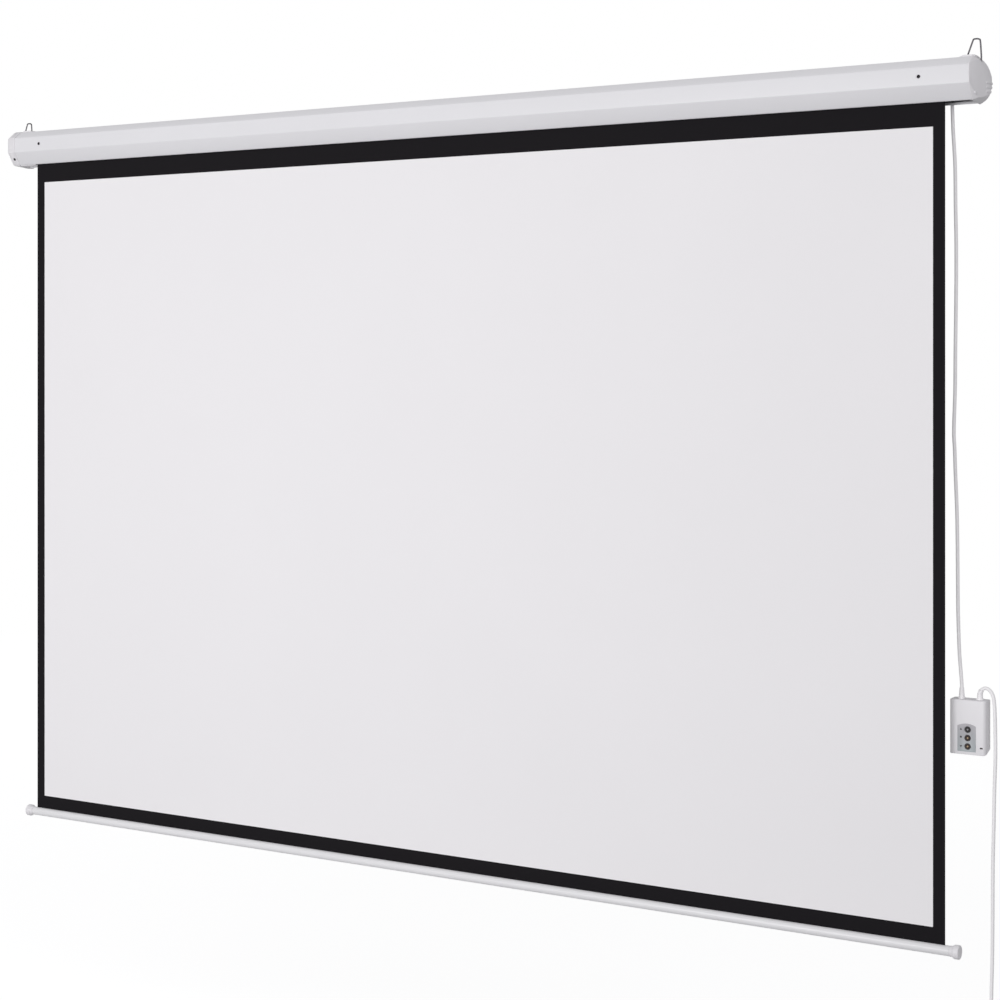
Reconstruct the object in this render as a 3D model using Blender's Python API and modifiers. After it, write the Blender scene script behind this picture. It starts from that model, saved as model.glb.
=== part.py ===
"""Motorized projector screen: a hanging case with a roller, a white screen with black borders,
a round weight bar and a push-button control box on its cables.

Frame: metres, +Z up, +X to the right for someone who looks at the screen, the picture faces -Y.
The origin lies on the line where two ceiling hooks carry the wire bails, half way between them.
"""
import math

import bmesh
import bpy
from mathutils import Matrix, Vector
from mathutils.geometry import interpolate_bezier

# Driving dimensions of the picture, from the photograph
VIEW_WIDTH = 2.286
VIEW_HEIGHT = 1.524
SIDE_BORDER = 0.024
TOP_BORDER = 0.0457
BOTTOM_BORDER = 0.031
FABRIC_THICKNESS = 0.0005

# Driving dimensions of the case, a thin extrusion with eight sides
CASE_DEPTH = 0.088
CASE_FACE_HEIGHT = 0.0347
TOP_BEVEL_RISE = 0.017
TOP_BEVEL_RUN = 0.022
LOW_BEVEL_RISE = 0.0306
LOW_BEVEL_RUN = 0.020
CASE_WALL = 0.0013
CASE_CORNER_RADIUS = 0.0035
HOOK_TO_CASE = 0.034
LIP_FLANGE = 0.002
LIP_RADIUS = 0.0018
SLOT_DEPTH = 0.036
REAR_LIP_DROP = 0.0037

# Driving dimensions of the end caps
CAP_OVERSIZE = 0.0012
CAP_LENGTH_LEFT = 0.030
CAP_LENGTH_RIGHT = 0.024
CAP_ROUND = 0.014
CAP_WALL = 0.0018
CAP_TOE_DROP = 0.0035
CAP_CORNER_RADIUS = 0.005
HUMP_RISE = 0.0035
HUMP_INNER_REACH = 0.031
HUMP_OUTER_REACH = 0.004
HUMP_RAMP = 0.011
HUMP_HALF_DEPTH = 0.013
CAP_RIB_COUNT = 3
CAP_RIB_PITCH = 0.0083
CAP_RIB_TOP = 0.0255
CAP_RIB_RADIUS = 0.0017
CAP_RIB_START = 0.0049
CAP_RIB_MARGIN = 0.0007
CAP_BOSS_RADIUS = 0.004
CAP_BOSS_SPREAD = 0.052
CAP_ARC_STEPS = 6

# Driving dimensions of the wire bails
BAIL_WIRE = 0.0014
BAIL_SPREAD = 0.013
BAIL_TOP_HALF = 0.0035
BAIL_BEND = 0.003
BAIL_FOOT = 0.0034
BAIL_FOOT_BEND = 0.0016
BAIL_CENTRE_INSET = 0.0025
BAIL_DROP = 0.0113
BAIL_TRAVEL = 0.0155
BAIL_SLOT_CLEARANCE = 0.0006

# Driving dimensions of the roller and its tubular motor
ROLLER_RADIUS = 0.022
ROLLER_WALL = 0.001
ROLLER_PAST_FABRIC = 0.005
ROLLER_BELOW_TOP = 0.041
WRAP_THICKNESS = 0.0011
MOTOR_RADIUS = 0.0175
MOTOR_LENGTH = 0.452
MOTOR_HEAD_RADIUS = 0.0195
MOTOR_HEAD_LENGTH = 0.0347
MOTOR_HEAD_EDGE = 0.001
MOTOR_SHAFT_RADIUS = 0.006
MOTOR_SHAFT_FLAT = 0.0015
MOTOR_SHAFT_LENGTH = 0.014
CROWN_LENGTH = 0.012
CROWN_RIM = 0.002
CROWN_PLAY = 0.0014
WHEEL_LENGTH = 0.016
WHEEL_TEETH = 8
WHEEL_NOTCH = 0.0022
WHEEL_TOOTH_SHARE = 0.6
WHEEL_FLANK_SHARE = 0.1
PIN_RADIUS = 0.005
PIN_HEAD_RADIUS = 0.009
PIN_HEAD_LENGTH = 0.003
PIN_REACH = 0.030
IDLE_PLUG_DEPTH = 0.040
IDLE_PLUG_FLANGE = 0.003
IDLE_PLUG_LAND = 0.010
IDLE_PLUG_STEP = 0.003
PLATE_THICKNESS = 0.002
PLATE_INSET = 0.008
PLATE_TAB_PAST_SCREW = 0.003
PLATE_TAB_HEIGHT = 0.016
PLATE_EAR_REACH = 0.0215
PLATE_EAR_WIDTH = 0.014

# Driving dimensions of the screws
CASE_SCREW_INSET_LEFT = 0.081
CASE_SCREW_INSET_RIGHT = 0.097
CASE_SCREW_RADIUS = 0.0019
CASE_SCREW_HEAD = 0.0036
CASE_SCREW_HEAD_HEIGHT = 0.0014
CASE_SCREW_LENGTH = 0.008
CAP_SCREW_OUT = 0.009
BOX_SCREW_RADIUS = 0.0013
BOX_SCREW_HEAD = 0.0026
BOX_SCREW_HEAD_HEIGHT = 0.0012
BOX_SCREW_SINK = 0.0014
BOX_SCREW_LENGTH = 0.012
SCREW_RECESS = 0.0008
SCREW_RECESS_WIDTH = 0.0006
LIMIT_SCREW_RADIUS = 0.0028
LIMIT_SCREW_SPREAD = 0.009
LIMIT_SCREW_DEPTH = 0.006
LIMIT_SCREW_PROUD = 0.0014
LIMIT_SCREW_ROOM = 0.001
LIMIT_SLOT_DEPTH = 0.001
LIMIT_SLOT_WIDTH = 0.0008

# Driving dimensions of the weight bar
BAR_RADIUS = 0.00925
BAR_WALL = 0.0012
BAR_PAST_FABRIC = 0.0095
BAR_SLOT = 0.0017
BAR_CAP_RADIUS = 0.0135
BAR_CAP_NECK = 0.004
BAR_CAP_FLARE = 0.005
BAR_CAP_BARREL = 0.0105
BAR_CAP_ROUND = 0.0025
BAR_CAP_SPIGOT = 0.008
BAR_CAP_STEP = 0.0002
HEM_ROD_RADIUS = 0.0022
STOP_GAP = 0.002

# Driving dimensions of the control box
BOX_WIDTH = 0.070
BOX_HEIGHT = 0.104
BOX_DEPTH = 0.030
BOX_TOP_Z = -1.252
BOX_INSET = 0.0165
BOX_WALL = 0.002
BOX_SEAM = 0.024
BOX_EDGE_ROUND = 0.007
BOX_BACK_ROUND = 0.003
BOX_TOE_RISE = 0.0105
LABEL_WIDTH = 0.0356
LABEL_HEIGHT = 0.0485
LABEL_ARCH = 0.0045
LABEL_FOOT = 0.0062
LABEL_ARC_STEPS = 8
LABEL_SHIFT = -0.002
LABEL_THICKNESS = 0.0004
BUTTON_RADIUS = 0.0054
BUTTON_PITCH = 0.016
BUTTON_COUNT = 3
BUTTON_FOOT_RISE = 0.016
BUTTON_PROUD = 0.0018
BUTTON_DISH = 0.0006
BUTTON_EDGE = 0.0008
BUTTON_TRAVEL = 0.001
BUTTON_FLANGE_RADIUS = 0.0066
BUTTON_FLANGE = 0.001
BUTTON_STEM_RADIUS = 0.002
BUTTON_STEM = 0.0025
BUTTON_INLAY_RADIUS = 0.0019
BUTTON_INLAY_DEPTH = 0.0012
SWITCH_SIDE = 0.006
SWITCH_NIB_RADIUS = 0.0016
SWITCH_NIB = 0.001
SWITCH_NIB_ROOT = 0.001
BOARD_WIDTH = 0.054
BOARD_FOOT_RISE = 0.01
BOARD_THICKNESS = 0.0016
BOARD_TOP_DROP = 0.010
BOARD_FORWARD = 0.0005
WINDOW_WIDTH = 0.0056
WINDOW_HEIGHT = 0.0024
WINDOW_ASIDE = 0.0263
WINDOW_FOOT_RISE = 0.0144
WINDOW_SHOULDER = 0.001
WINDOW_SHOULDER_DEPTH = 0.0015
RELAY_WIDTH = 0.0155
RELAY_HEIGHT = 0.0192
RELAY_DEPTH = 0.0105
RELAY_DROP = 0.034
RELAY_SPREAD = 0.0115
TERMINAL_WIDTH = 0.040
TERMINAL_HEIGHT = 0.010
TERMINAL_DEPTH = 0.009
TERMINAL_DROP = 0.0175
CAPACITOR_RADIUS = 0.0055
CAPACITOR_LENGTH = 0.026
CAPACITOR_FOOT_RISE = 0.036
SCREW_POST_RADIUS = 0.0036
SCREW_POST_ASIDE = 0.0285
SCREW_POST_HEIGHT = 0.044

# Driving dimensions of the cables and their strain reliefs
CORD_RADIUS = 0.0034
CABLE_Y = 0.018
GLAND_INSET = 0.0515
GLAND_FLANGE_RADIUS = 0.005
GLAND_FLANGE = 0.0015
GLAND_NECK_RADIUS = 0.0042
RELIEF_BASE_RADIUS = 0.0064
RELIEF_TIP_RADIUS = 0.0042
RELIEF_HEIGHT = 0.0205
RELIEF_SPIGOT_RADIUS = 0.0045
RELIEF_COLLAR = 0.002
RELIEF_STEP = 0.0008
MOTOR_RELIEF_ASIDE = 0.0165
MAINS_RELIEF_ASIDE = 0.0193
RELIEF_SPIGOT_PAST = 0.002
SLEEVE_RADIUS = 0.0048
SLEEVE_TAPER = 0.0012
SLEEVE_STEP = 0.003
CORD_STEP = 0.0185
LEAD_RADIUS = 0.0024
LEAD_POINTS = 8

# Driving dimensions of the hank, its tie and the plug
HANK_RUN = 0.102
HANK_LEAD_SHARE = 0.97
HANK_FOLD_RADIUS = 0.0205
HANK_PITCH = 0.0086
HANK_LAYER = 0.0077
HANK_LOOPS_PER_LAYER = 1.5
HANK_WAIST = 0.0125
HANK_CENTRE_Z = -1.920
HANK_START_PAST = 0.0237
HANK_POINTS_PER_LOOP = 24
TIE_HEIGHT = 0.012
TIE_THICKNESS = 0.0012
TIE_CLEARANCE = 0.0005
TIE_CORNER = 0.0025
PLUG_RELIEF_LENGTH = 0.020
PLUG_RELIEF_TIP = 0.0042
PLUG_RELIEF_BASE = 0.0060
PLUG_WIDTH = 0.025
PLUG_THICKNESS = 0.025
PLUG_BODY = 0.027
PLUG_EDGE = 0.003
PLUG_RELIEF_ROOT = 0.002
BLADE_LENGTH = 0.0165
BLADE_WIDTH = 0.0063
BLADE_THICKNESS = 0.0015
BLADE_SPREAD = 0.00635
GROUND_RADIUS = 0.0024
GROUND_LENGTH = 0.0185
BLADE_OFFSET = 0.0045
GROUND_OFFSET = 0.0074
BLADE_SOCKET = 0.006

# Clearances and facets
GAP = 0.0003
PLATE_CLEARANCE = 0.0006
TURN_SIDES = 28
ARC_STEPS = 4

# Places worked out from the driving dimensions
CASE_TOP = -HOOK_TO_CASE
FACE_TOP = CASE_TOP - TOP_BEVEL_RISE
FACE_BOTTOM = FACE_TOP - CASE_FACE_HEIGHT
LIP_Z = FACE_BOTTOM - LOW_BEVEL_RISE
FRONT_Y = -CASE_DEPTH / 2
BACK_Y = CASE_DEPTH / 2
LIP_Y = FRONT_Y + LOW_BEVEL_RUN
REAR_LIP_Y = LIP_Y + SLOT_DEPTH
FABRIC_Y = LIP_Y + LIP_FLANGE + 0.003
FABRIC_HALF = VIEW_WIDTH / 2 + SIDE_BORDER
WRAP_RADIUS = ROLLER_RADIUS + GAP + WRAP_THICKNESS
ROLLER_Y = FABRIC_Y + FABRIC_THICKNESS / 2 + GAP + WRAP_RADIUS
ROLLER_Z = CASE_TOP - ROLLER_BELOW_TOP
ROLLER_HALF = FABRIC_HALF + ROLLER_PAST_FABRIC
ROLLER_BORE = ROLLER_RADIUS - ROLLER_WALL
MOTOR_HEAD_START = ROLLER_HALF + 2 * GAP + CROWN_RIM + CROWN_PLAY
MOTOR_HEAD_END = MOTOR_HEAD_START + MOTOR_HEAD_LENGTH
PLATE_X = MOTOR_HEAD_END + GAP + PLATE_THICKNESS / 2
CASE_HALF = PLATE_X + PLATE_INSET
BAR_Z = LIP_Z - TOP_BORDER - VIEW_HEIGHT - BOTTOM_BORDER - BAR_RADIUS
BAR_HALF = FABRIC_HALF + BAR_PAST_FABRIC
BAR_LIFT = LIP_Z - STOP_GAP - BAR_CAP_RADIUS - BAR_Z
BAIL_CENTRE = CASE_HALF - BAIL_CENTRE_INSET
GLAND_X = CASE_HALF - GLAND_INSET
BOX_CENTRE_X = CASE_HALF - BOX_INSET
MOTOR_RELIEF_X = BOX_CENTRE_X - MOTOR_RELIEF_ASIDE
MAINS_RELIEF_X = BOX_CENTRE_X + MAINS_RELIEF_ASIDE
HANK_START_X = CASE_HALF + HANK_START_PAST
CAP_TOP = CASE_TOP + CAP_OVERSIZE
HUMP_TOP = CAP_TOP + HUMP_RISE
BOX_FRONT_Y = CABLE_Y - BOX_DEPTH / 2
BOX_BACK_Y = BOX_FRONT_Y + BOX_DEPTH
BOX_BOTTOM_Z = BOX_TOP_Z - BOX_HEIGHT
BOX_SEAM_Y = BOX_FRONT_Y + BOX_SEAM
FACE_MIDDLE = (FACE_TOP + FACE_BOTTOM) / 2
BOARD_BACK_Y = CABLE_Y - BOARD_FORWARD
BOARD_FRONT_Y = BOARD_BACK_Y - BOARD_THICKNESS
CORD_DIAMETER = 2 * CORD_RADIUS

# Hand-chosen points of the cables in the plane where both hang, as x past the case's end, and z
MOTOR_ROUTE = (
    (-0.0500, -0.167), (-0.0477, -0.205), (-0.0459, -0.243), (-0.0451, -0.320),
    (-0.0440, -0.377), (-0.0438, -0.434), (-0.0443, -0.492), (-0.0455, -0.588), (-0.0462, -0.664),
    (-0.0485, -0.741), (-0.0469, -0.779), (-0.0453, -0.827), (-0.0426, -0.893), (-0.0415, -0.951),
    (-0.0410, -1.008), (-0.0403, -1.084), (-0.0378, -1.161), (-0.0352, -1.196),
)
SLEEVE_ROUTE = ((0.0026, -1.2455), (0.0030, -1.2395))
SLEEVE_END = (0.0051, -1.2338)
MAINS_ROUTE = (
    (0.0087, -1.2305), (0.0135, -1.2292), (0.0192, -1.2309), (0.0243, -1.2357),
    (0.0278, -1.2430), (0.0300, -1.2540), (0.0315, -1.2780), (0.0324, -1.3260), (0.0323, -1.3640),
    (0.0305, -1.4200), (0.0290, -1.4960), (0.0274, -1.5720), (0.0270, -1.6670), (0.0263, -1.7430),
    (0.0248, -1.8000),
)


def clear_scene():
    """Removes the objects that a new scene starts with."""
    for old in list(bpy.data.objects):
        bpy.data.objects.remove(old, do_unlink=True)


def new_collection(name):
    """Makes a collection in the scene."""
    group = bpy.data.collections.new(name)
    bpy.context.scene.collection.children.link(group)
    return group


clear_scene()
PARTS = new_collection("motorized_projector_screen")
CUTTERS = new_collection("cutters")
MATERIALS = {}


def make_material(name, rgb, roughness, metallic=0.0):
    """Makes a Principled material of one colour."""
    made = bpy.data.materials.new(name)
    made.use_nodes = True
    shader = made.node_tree.nodes["Principled BSDF"]
    shader.inputs["Base Color"].default_value = (*rgb, 1.0)
    shader.inputs["Roughness"].default_value = roughness
    shader.inputs["Metallic"].default_value = metallic
    made.diffuse_color = (*rgb, 1.0)
    MATERIALS[name] = made


def make_materials():
    """Makes the materials of the whole object."""
    make_material("case_paint", (0.72, 0.71, 0.73), 0.4)
    make_material("cap_plastic", (0.68, 0.67, 0.69), 0.45)
    make_material("steel", (0.45, 0.45, 0.46), 0.35, 1.0)
    make_material("aluminium", (0.75, 0.75, 0.76), 0.35, 1.0)
    make_material("black_plastic", (0.02, 0.02, 0.02), 0.4)
    make_material("matte_white", (0.82, 0.81, 0.83), 0.85)
    make_material("box_plastic", (0.76, 0.74, 0.76), 0.4)
    make_material("label_grey", (0.38, 0.40, 0.42), 0.5)
    make_material("cord_white", (0.70, 0.69, 0.70), 0.5)
    make_material("board_green", (0.03, 0.17, 0.07), 0.5)
    make_material("relay_blue", (0.05, 0.12, 0.35), 0.5)
    make_material("clear_window", (0.10, 0.03, 0.03), 0.15)
    make_material("brass", (0.75, 0.60, 0.32), 0.3, 1.0)


def finish(thing, material, parent=None, smooth=True):
    """Puts an object in the parts collection with its material and its parent."""
    for group in list(thing.users_collection):
        group.objects.unlink(thing)
    PARTS.objects.link(thing)
    thing.data.materials.clear()
    thing.data.materials.append(MATERIALS[material])
    if parent is not None:
        thing.parent = parent
        thing.matrix_parent_inverse = parent.matrix_world.inverted()
    if smooth and thing.type == "MESH":
        thing.data.shade_smooth()
        thing.data.set_sharp_from_angle(angle=math.radians(35))
    return thing


def make_cutter(thing):
    """Hides an object that only cuts or joins another."""
    for group in list(thing.users_collection):
        group.objects.unlink(thing)
    CUTTERS.objects.link(thing)
    thing.hide_render = True
    thing.display_type = "WIRE"
    return thing


def axis_empty(name, place):
    """Marks a joint's axis, which the moving pieces hang from."""
    empty = bpy.data.objects.new(name, None)
    empty.location = place
    PARTS.objects.link(empty)
    bpy.context.view_layer.update()
    return empty


def object_from(name, shape):
    """Makes an object from a bmesh."""
    mesh = bpy.data.meshes.new(name)
    shape.to_mesh(mesh)
    shape.free()
    thing = bpy.data.objects.new(name, mesh)
    bpy.context.scene.collection.objects.link(thing)
    return thing


def block(name, low, high):
    """Makes a box between two opposite corners."""
    low = Vector(low)
    high = Vector(high)
    shape = bmesh.new()
    size = Matrix.Diagonal((*(high - low), 1.0))
    bmesh.ops.create_cube(shape, size=1.0, matrix=Matrix.Translation((low + high) / 2) @ size)
    return object_from(name, shape)


def rod(name, start, end, radius, end_radius=None, sides=TURN_SIDES):
    """Makes a cylinder or a cone between two points."""
    start = Vector(start)
    end = Vector(end)
    along = end - start
    turn = along.to_track_quat("Z", "Y").to_matrix().to_4x4()
    shape = bmesh.new()
    tip = radius if end_radius is None else end_radius
    bmesh.ops.create_cone(
        shape, cap_ends=True, segments=sides, radius1=radius, radius2=tip, depth=along.length,
        matrix=Matrix.Translation((start + end) / 2) @ turn)
    return object_from(name, shape)


def turned(name, profile, direction, place, sides=TURN_SIDES):
    """Turns a profile of (radius, height) points about its own Z axis, then lays it along direction.

    The profile runs down the outer side, from top to bottom."""
    mesh = bpy.data.meshes.new(name)
    corners = [(radius, 0.0, height) for radius, height in profile]
    edges = [(i, i + 1) for i in range(len(corners) - 1)]
    hollow = min(radius for radius, height in profile) > 0
    if hollow:
        edges.append((len(corners) - 1, 0))
    mesh.from_pydata(corners, edges, [])
    thing = bpy.data.objects.new(name, mesh)
    bpy.context.scene.collection.objects.link(thing)
    thing.rotation_mode = "QUATERNION"
    thing.rotation_quaternion = Vector(direction).to_track_quat("Z", "Y")
    thing.location = place
    spin = thing.modifiers.new("turn", "SCREW")
    spin.axis = "Z"
    spin.steps = sides
    spin.render_steps = sides
    spin.use_merge_vertices = True
    spin.merge_threshold = 0.00001
    spin.use_smooth_shade = True
    return thing


def as_mesh(thing):
    """Replaces a curve or a modified object by its plain welded mesh."""
    bpy.context.view_layer.update()
    seen = thing.evaluated_get(bpy.context.evaluated_depsgraph_get())
    mesh = bpy.data.meshes.new_from_object(seen)
    shape = bmesh.new()
    shape.from_mesh(mesh)
    bmesh.ops.remove_doubles(shape, verts=shape.verts, dist=0.000002)
    bmesh.ops.recalc_face_normals(shape, faces=shape.faces)
    shape.to_mesh(mesh)
    shape.free()
    name = thing.name
    place = thing.matrix_world.copy()
    bpy.data.objects.remove(thing, do_unlink=True)
    made = bpy.data.objects.new(name, mesh)
    made.matrix_world = place
    bpy.context.scene.collection.objects.link(made)
    return made


def cut(thing, tool):
    """Cuts one object out of another."""
    make_cutter(tool)
    step = thing.modifiers.new("cut_" + tool.name, "BOOLEAN")
    step.operation = "DIFFERENCE"
    step.solver = "EXACT"
    step.object = tool


def join(thing, tool):
    """Joins one object to another as one body."""
    make_cutter(tool)
    step = thing.modifiers.new("join_" + tool.name, "BOOLEAN")
    step.operation = "UNION"
    step.solver = "EXACT"
    step.object = tool


def rounded(points, radius, closed=True, steps=ARC_STEPS):
    """Rounds the corners of an outline of (a, b) points with arcs of one radius, or of one each."""
    made = []
    count = len(points)
    radii = radius if isinstance(radius, (list, tuple)) else [radius] * count
    for i, point in enumerate(points):
        corner = Vector(point)
        if radii[i] <= 0 or (not closed and i in (0, count - 1)):
            made.append(tuple(corner))
            continue
        before = (Vector(points[i - 1]) - corner).normalized()
        after = (Vector(points[(i + 1) % count]) - corner).normalized()
        half = before.angle(after) / 2
        reach = radii[i] / math.tan(half)
        middle = corner + (before + after).normalized() * radii[i] / math.sin(half)
        first = (corner + before * reach - middle).normalized()
        last = (corner + after * reach - middle).normalized()
        made += [tuple(middle + first.slerp(last, j / steps) * radii[i]) for j in range(steps + 1)]
    return made


def offset(points, distance, closed=True):
    """Moves each side of an outline to the right of its way by a distance."""
    made = []
    count = len(points)
    for i in range(count):
        here = Vector(points[i])
        before = (here - Vector(points[i - 1])).normalized()
        after = (Vector(points[(i + 1) % count]) - here).normalized()
        if not closed and i == 0:
            before = after
        if not closed and i == count - 1:
            after = before
        side_a = Vector((before.y, -before.x))
        side_b = Vector((after.y, -after.x))
        split = (side_a + side_b).normalized()
        made.append(tuple(here + split * distance / split.dot(side_a)))
    return made


def wall_section(line, radii, wall):
    """Gives the closed outline of a sheet bent along a line, with its wall on the line's right."""
    inner_radii = [max(radius - wall, 0.0) for radius in radii]
    outer = rounded(line, radii, closed=False, steps=3)
    inner = rounded(offset(line, wall, closed=False), inner_radii, closed=False, steps=3)
    return outer + inner[::-1]


def strip(name, outline, start_x, end_x, thickness):
    """Draws an open outline of (y, z) points along X and thickens it to its right-hand side."""
    shape = bmesh.new()
    corners = [shape.verts.new((start_x, y, z)) for y, z in outline]
    edges = [shape.edges.new(pair) for pair in zip(corners, corners[1:])]
    swept = bmesh.ops.extrude_edge_only(shape, edges=edges)
    moved = [item for item in swept["geom"] if isinstance(item, bmesh.types.BMVert)]
    bmesh.ops.translate(shape, verts=moved, vec=(end_x - start_x, 0.0, 0.0))
    thing = object_from(name, shape)
    wall = thing.modifiers.new("wall", "SOLIDIFY")
    wall.thickness = thickness
    wall.offset = 1.0
    wall.use_even_offset = True
    return thing


def plate_outline(name, loops, low, high, axis):
    """Fills flat outlines, the first with the others as holes, between two places along an axis.

    The points are (y, z) for axis X and (x, z) for axis Y and (x, y) for axis Z."""
    curve = bpy.data.curves.new(name, "CURVE")
    curve.dimensions = "2D"
    curve.fill_mode = "BOTH"
    curve.extrude = (high - low) / 2
    for loop in loops:
        line = curve.splines.new("POLY")
        line.points.add(len(loop) - 1)
        line.use_cyclic_u = True
        for spot, (a, b) in zip(line.points, loop):
            spot.co = (a, b, 0.0, 1.0)
    thing = bpy.data.objects.new(name, curve)
    bpy.context.scene.collection.objects.link(thing)
    middle = (low + high) / 2
    frames = {
        "X": Matrix(((0, 0, 1, middle), (1, 0, 0, 0), (0, 1, 0, 0), (0, 0, 0, 1))),
        "Y": Matrix(((1, 0, 0, 0), (0, 0, -1, middle), (0, 1, 0, 0), (0, 0, 0, 1))),
        "Z": Matrix(((1, 0, 0, 0), (0, 1, 0, 0), (0, 0, 1, middle), (0, 0, 0, 1))),
    }
    thing.matrix_world = frames[axis]
    return thing


def circle(middle, radius, sides=TURN_SIDES):
    """Gives the points of a circle."""
    angles = [2 * math.pi * i / sides for i in range(sides)]
    return [(middle[0] + radius * math.cos(a), middle[1] + radius * math.sin(a)) for a in angles]


def tube(name, points, radius, resolution=2, radii=None):
    """Makes a solid tube along points, with filled ends."""
    curve = bpy.data.curves.new(name, "CURVE")
    curve.dimensions = "3D"
    curve.bevel_depth = radius
    curve.bevel_resolution = resolution
    curve.use_fill_caps = True
    curve.twist_mode = "MINIMUM"
    line = curve.splines.new("POLY")
    line.points.add(len(points) - 1)
    for i, (spot, point) in enumerate(zip(line.points, points)):
        spot.co = (*point, 1.0)
        if radii is not None:
            spot.radius = radii[i] / radius
    thing = bpy.data.objects.new(name, curve)
    bpy.context.scene.collection.objects.link(thing)
    return thing


def smooth_through(route, y, step):
    """Reads points along a Catmull-Rom curve through a route, given as x past the case's end, and z."""
    places = [Vector((CASE_HALF + x, y, z)) for x, z in route]
    places = [2 * places[0] - places[1]] + places + [2 * places[-1] - places[-2]]
    made = []
    for i in range(1, len(places) - 2):
        before, here, there, after = places[i - 1:i + 3]
        pieces = max(1, round((there - here).length / step))
        for j in range(pieces):
            t = j / pieces
            bend = 2 * before - 5 * here + 4 * there - after
            sway = 3 * here - before - 3 * there + after
            made.append(0.5 * (2 * here + (there - before) * t + bend * t * t + sway * t ** 3))
    made.append(places[-2])
    return made


def case_corners():
    """Gives the eight outer corners of the case's section as (y, z), up the front and round."""
    return [
        (LIP_Y, LIP_Z),
        (FRONT_Y, FACE_BOTTOM),
        (FRONT_Y, FACE_TOP),
        (FRONT_Y + TOP_BEVEL_RUN, CASE_TOP),
        (BACK_Y - TOP_BEVEL_RUN, CASE_TOP),
        (BACK_Y, FACE_TOP),
        (BACK_Y, FACE_BOTTOM),
        (BACK_Y - LOW_BEVEL_RUN, LIP_Z),
    ]


def grown(points, distance):
    """Makes an outline of the case's section larger by a distance, or smaller."""
    return offset(points, -distance)


def bail_leg_slots(side):
    """Gives the middles along X, and the half length, of the two slots for a bail's legs."""
    slant = (BAIL_SPREAD - BAIL_TOP_HALF) / (HOOK_TO_CASE + BAIL_WIRE)
    lowered = BAIL_TRAVEL + HUMP_TOP - CASE_TOP
    inner_reach = BAIL_SPREAD - slant * lowered - BAIL_WIRE - BAIL_SLOT_CLEARANCE
    outer_reach = BAIL_SPREAD + BAIL_WIRE + BAIL_SLOT_CLEARANCE
    middle = (inner_reach + outer_reach) / 2
    half = (outer_reach - inner_reach) / 2
    return [side * BAIL_CENTRE - middle, side * BAIL_CENTRE + middle], half


def bail_slot_cutter(name, middle_x, half):
    """Makes the cutter of one bail slot, tall enough for the case's top and the cap's hump."""
    half_y = BAIL_WIRE + BAIL_SLOT_CLEARANCE
    low = (middle_x - half, -half_y, CASE_TOP - 0.008)
    high = (middle_x + half, half_y, HUMP_TOP + 0.004)
    return block(name, low, high)


def make_case_shell():
    """Makes the extruded case, open along the slot that the screen comes out of."""
    corners = case_corners()
    line = [(LIP_Y + LIP_FLANGE, LIP_Z)] + corners
    line += [(REAR_LIP_Y, LIP_Z), (REAR_LIP_Y, LIP_Z - REAR_LIP_DROP)]
    radii = [0.0, LIP_RADIUS] + [CASE_CORNER_RADIUS] * (len(corners) - 1) + [0.0, 0.0]
    loop = wall_section(line, radii, CASE_WALL)
    shell = as_mesh(plate_outline("case_shell", [loop], -CASE_HALF, CASE_HALF, "X"))
    low = (GLAND_X, CABLE_Y, LIP_Z - CASE_WALL)
    high = (GLAND_X, CABLE_Y, LIP_Z + 2 * CASE_WALL)
    cut(shell, rod("gland_hole", low, high, GLAND_NECK_RADIUS + GAP, sides=20))
    for side in (-1, 1):
        name = side_name(side)
        middles, half = bail_leg_slots(side)
        inner = min(middles, key=abs)
        cut(shell, bail_slot_cutter("case_bail_slot_" + name, inner, half))
        x = case_screw_x(side)
        start = (x, FRONT_Y - CASE_WALL, FACE_MIDDLE)
        end = (x, FRONT_Y + 2 * CASE_WALL, FACE_MIDDLE)
        cut(shell, rod("case_screw_hole_" + name, start, end, CASE_SCREW_RADIUS + GAP, sides=16))
    finish(shell, "case_paint")


def side_name(side):
    """Names the end of the object that a sign stands for."""
    return "right" if side > 0 else "left"


def case_screw_x(side):
    """Gives where along the case the screw at one end goes through its front."""
    return side * (CASE_HALF - (CASE_SCREW_INSET_RIGHT if side > 0 else CASE_SCREW_INSET_LEFT))


def cap_length(side):
    """Gives how far the cap at one end reaches past the case."""
    return CAP_LENGTH_RIGHT if side > 0 else CAP_LENGTH_LEFT


def cap_corners():
    """Gives the outer corners of an end cap's rim, a little larger than the case."""
    corners = grown(case_corners(), CAP_OVERSIZE)
    heel = corners[-1]
    corners[-1] = (heel[0], heel[1] - CAP_TOE_DROP)
    return corners


def back_edge(height):
    """Gives how far back the cap's section reaches at a height on its rear side."""
    below = max(0.0, FACE_BOTTOM - height)
    return BACK_Y + CAP_OVERSIZE - below * LOW_BEVEL_RUN / LOW_BEVEL_RISE


def dome_inset(reach):
    """Gives how far the dome has drawn in at a distance along its rounding."""
    return CAP_ROUND - math.sqrt(CAP_ROUND ** 2 - reach ** 2)


def bevel_point(distance, depth):
    """Gives a (y, z) place on the front lower bevel: along it from its top edge, and under it."""
    edge = Vector((FRONT_Y, FACE_BOTTOM))
    along = (Vector((LIP_Y, LIP_Z)) - edge).normalized()
    inward = Vector((-along.y, along.x))
    return edge + along * distance + inward * depth


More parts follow.
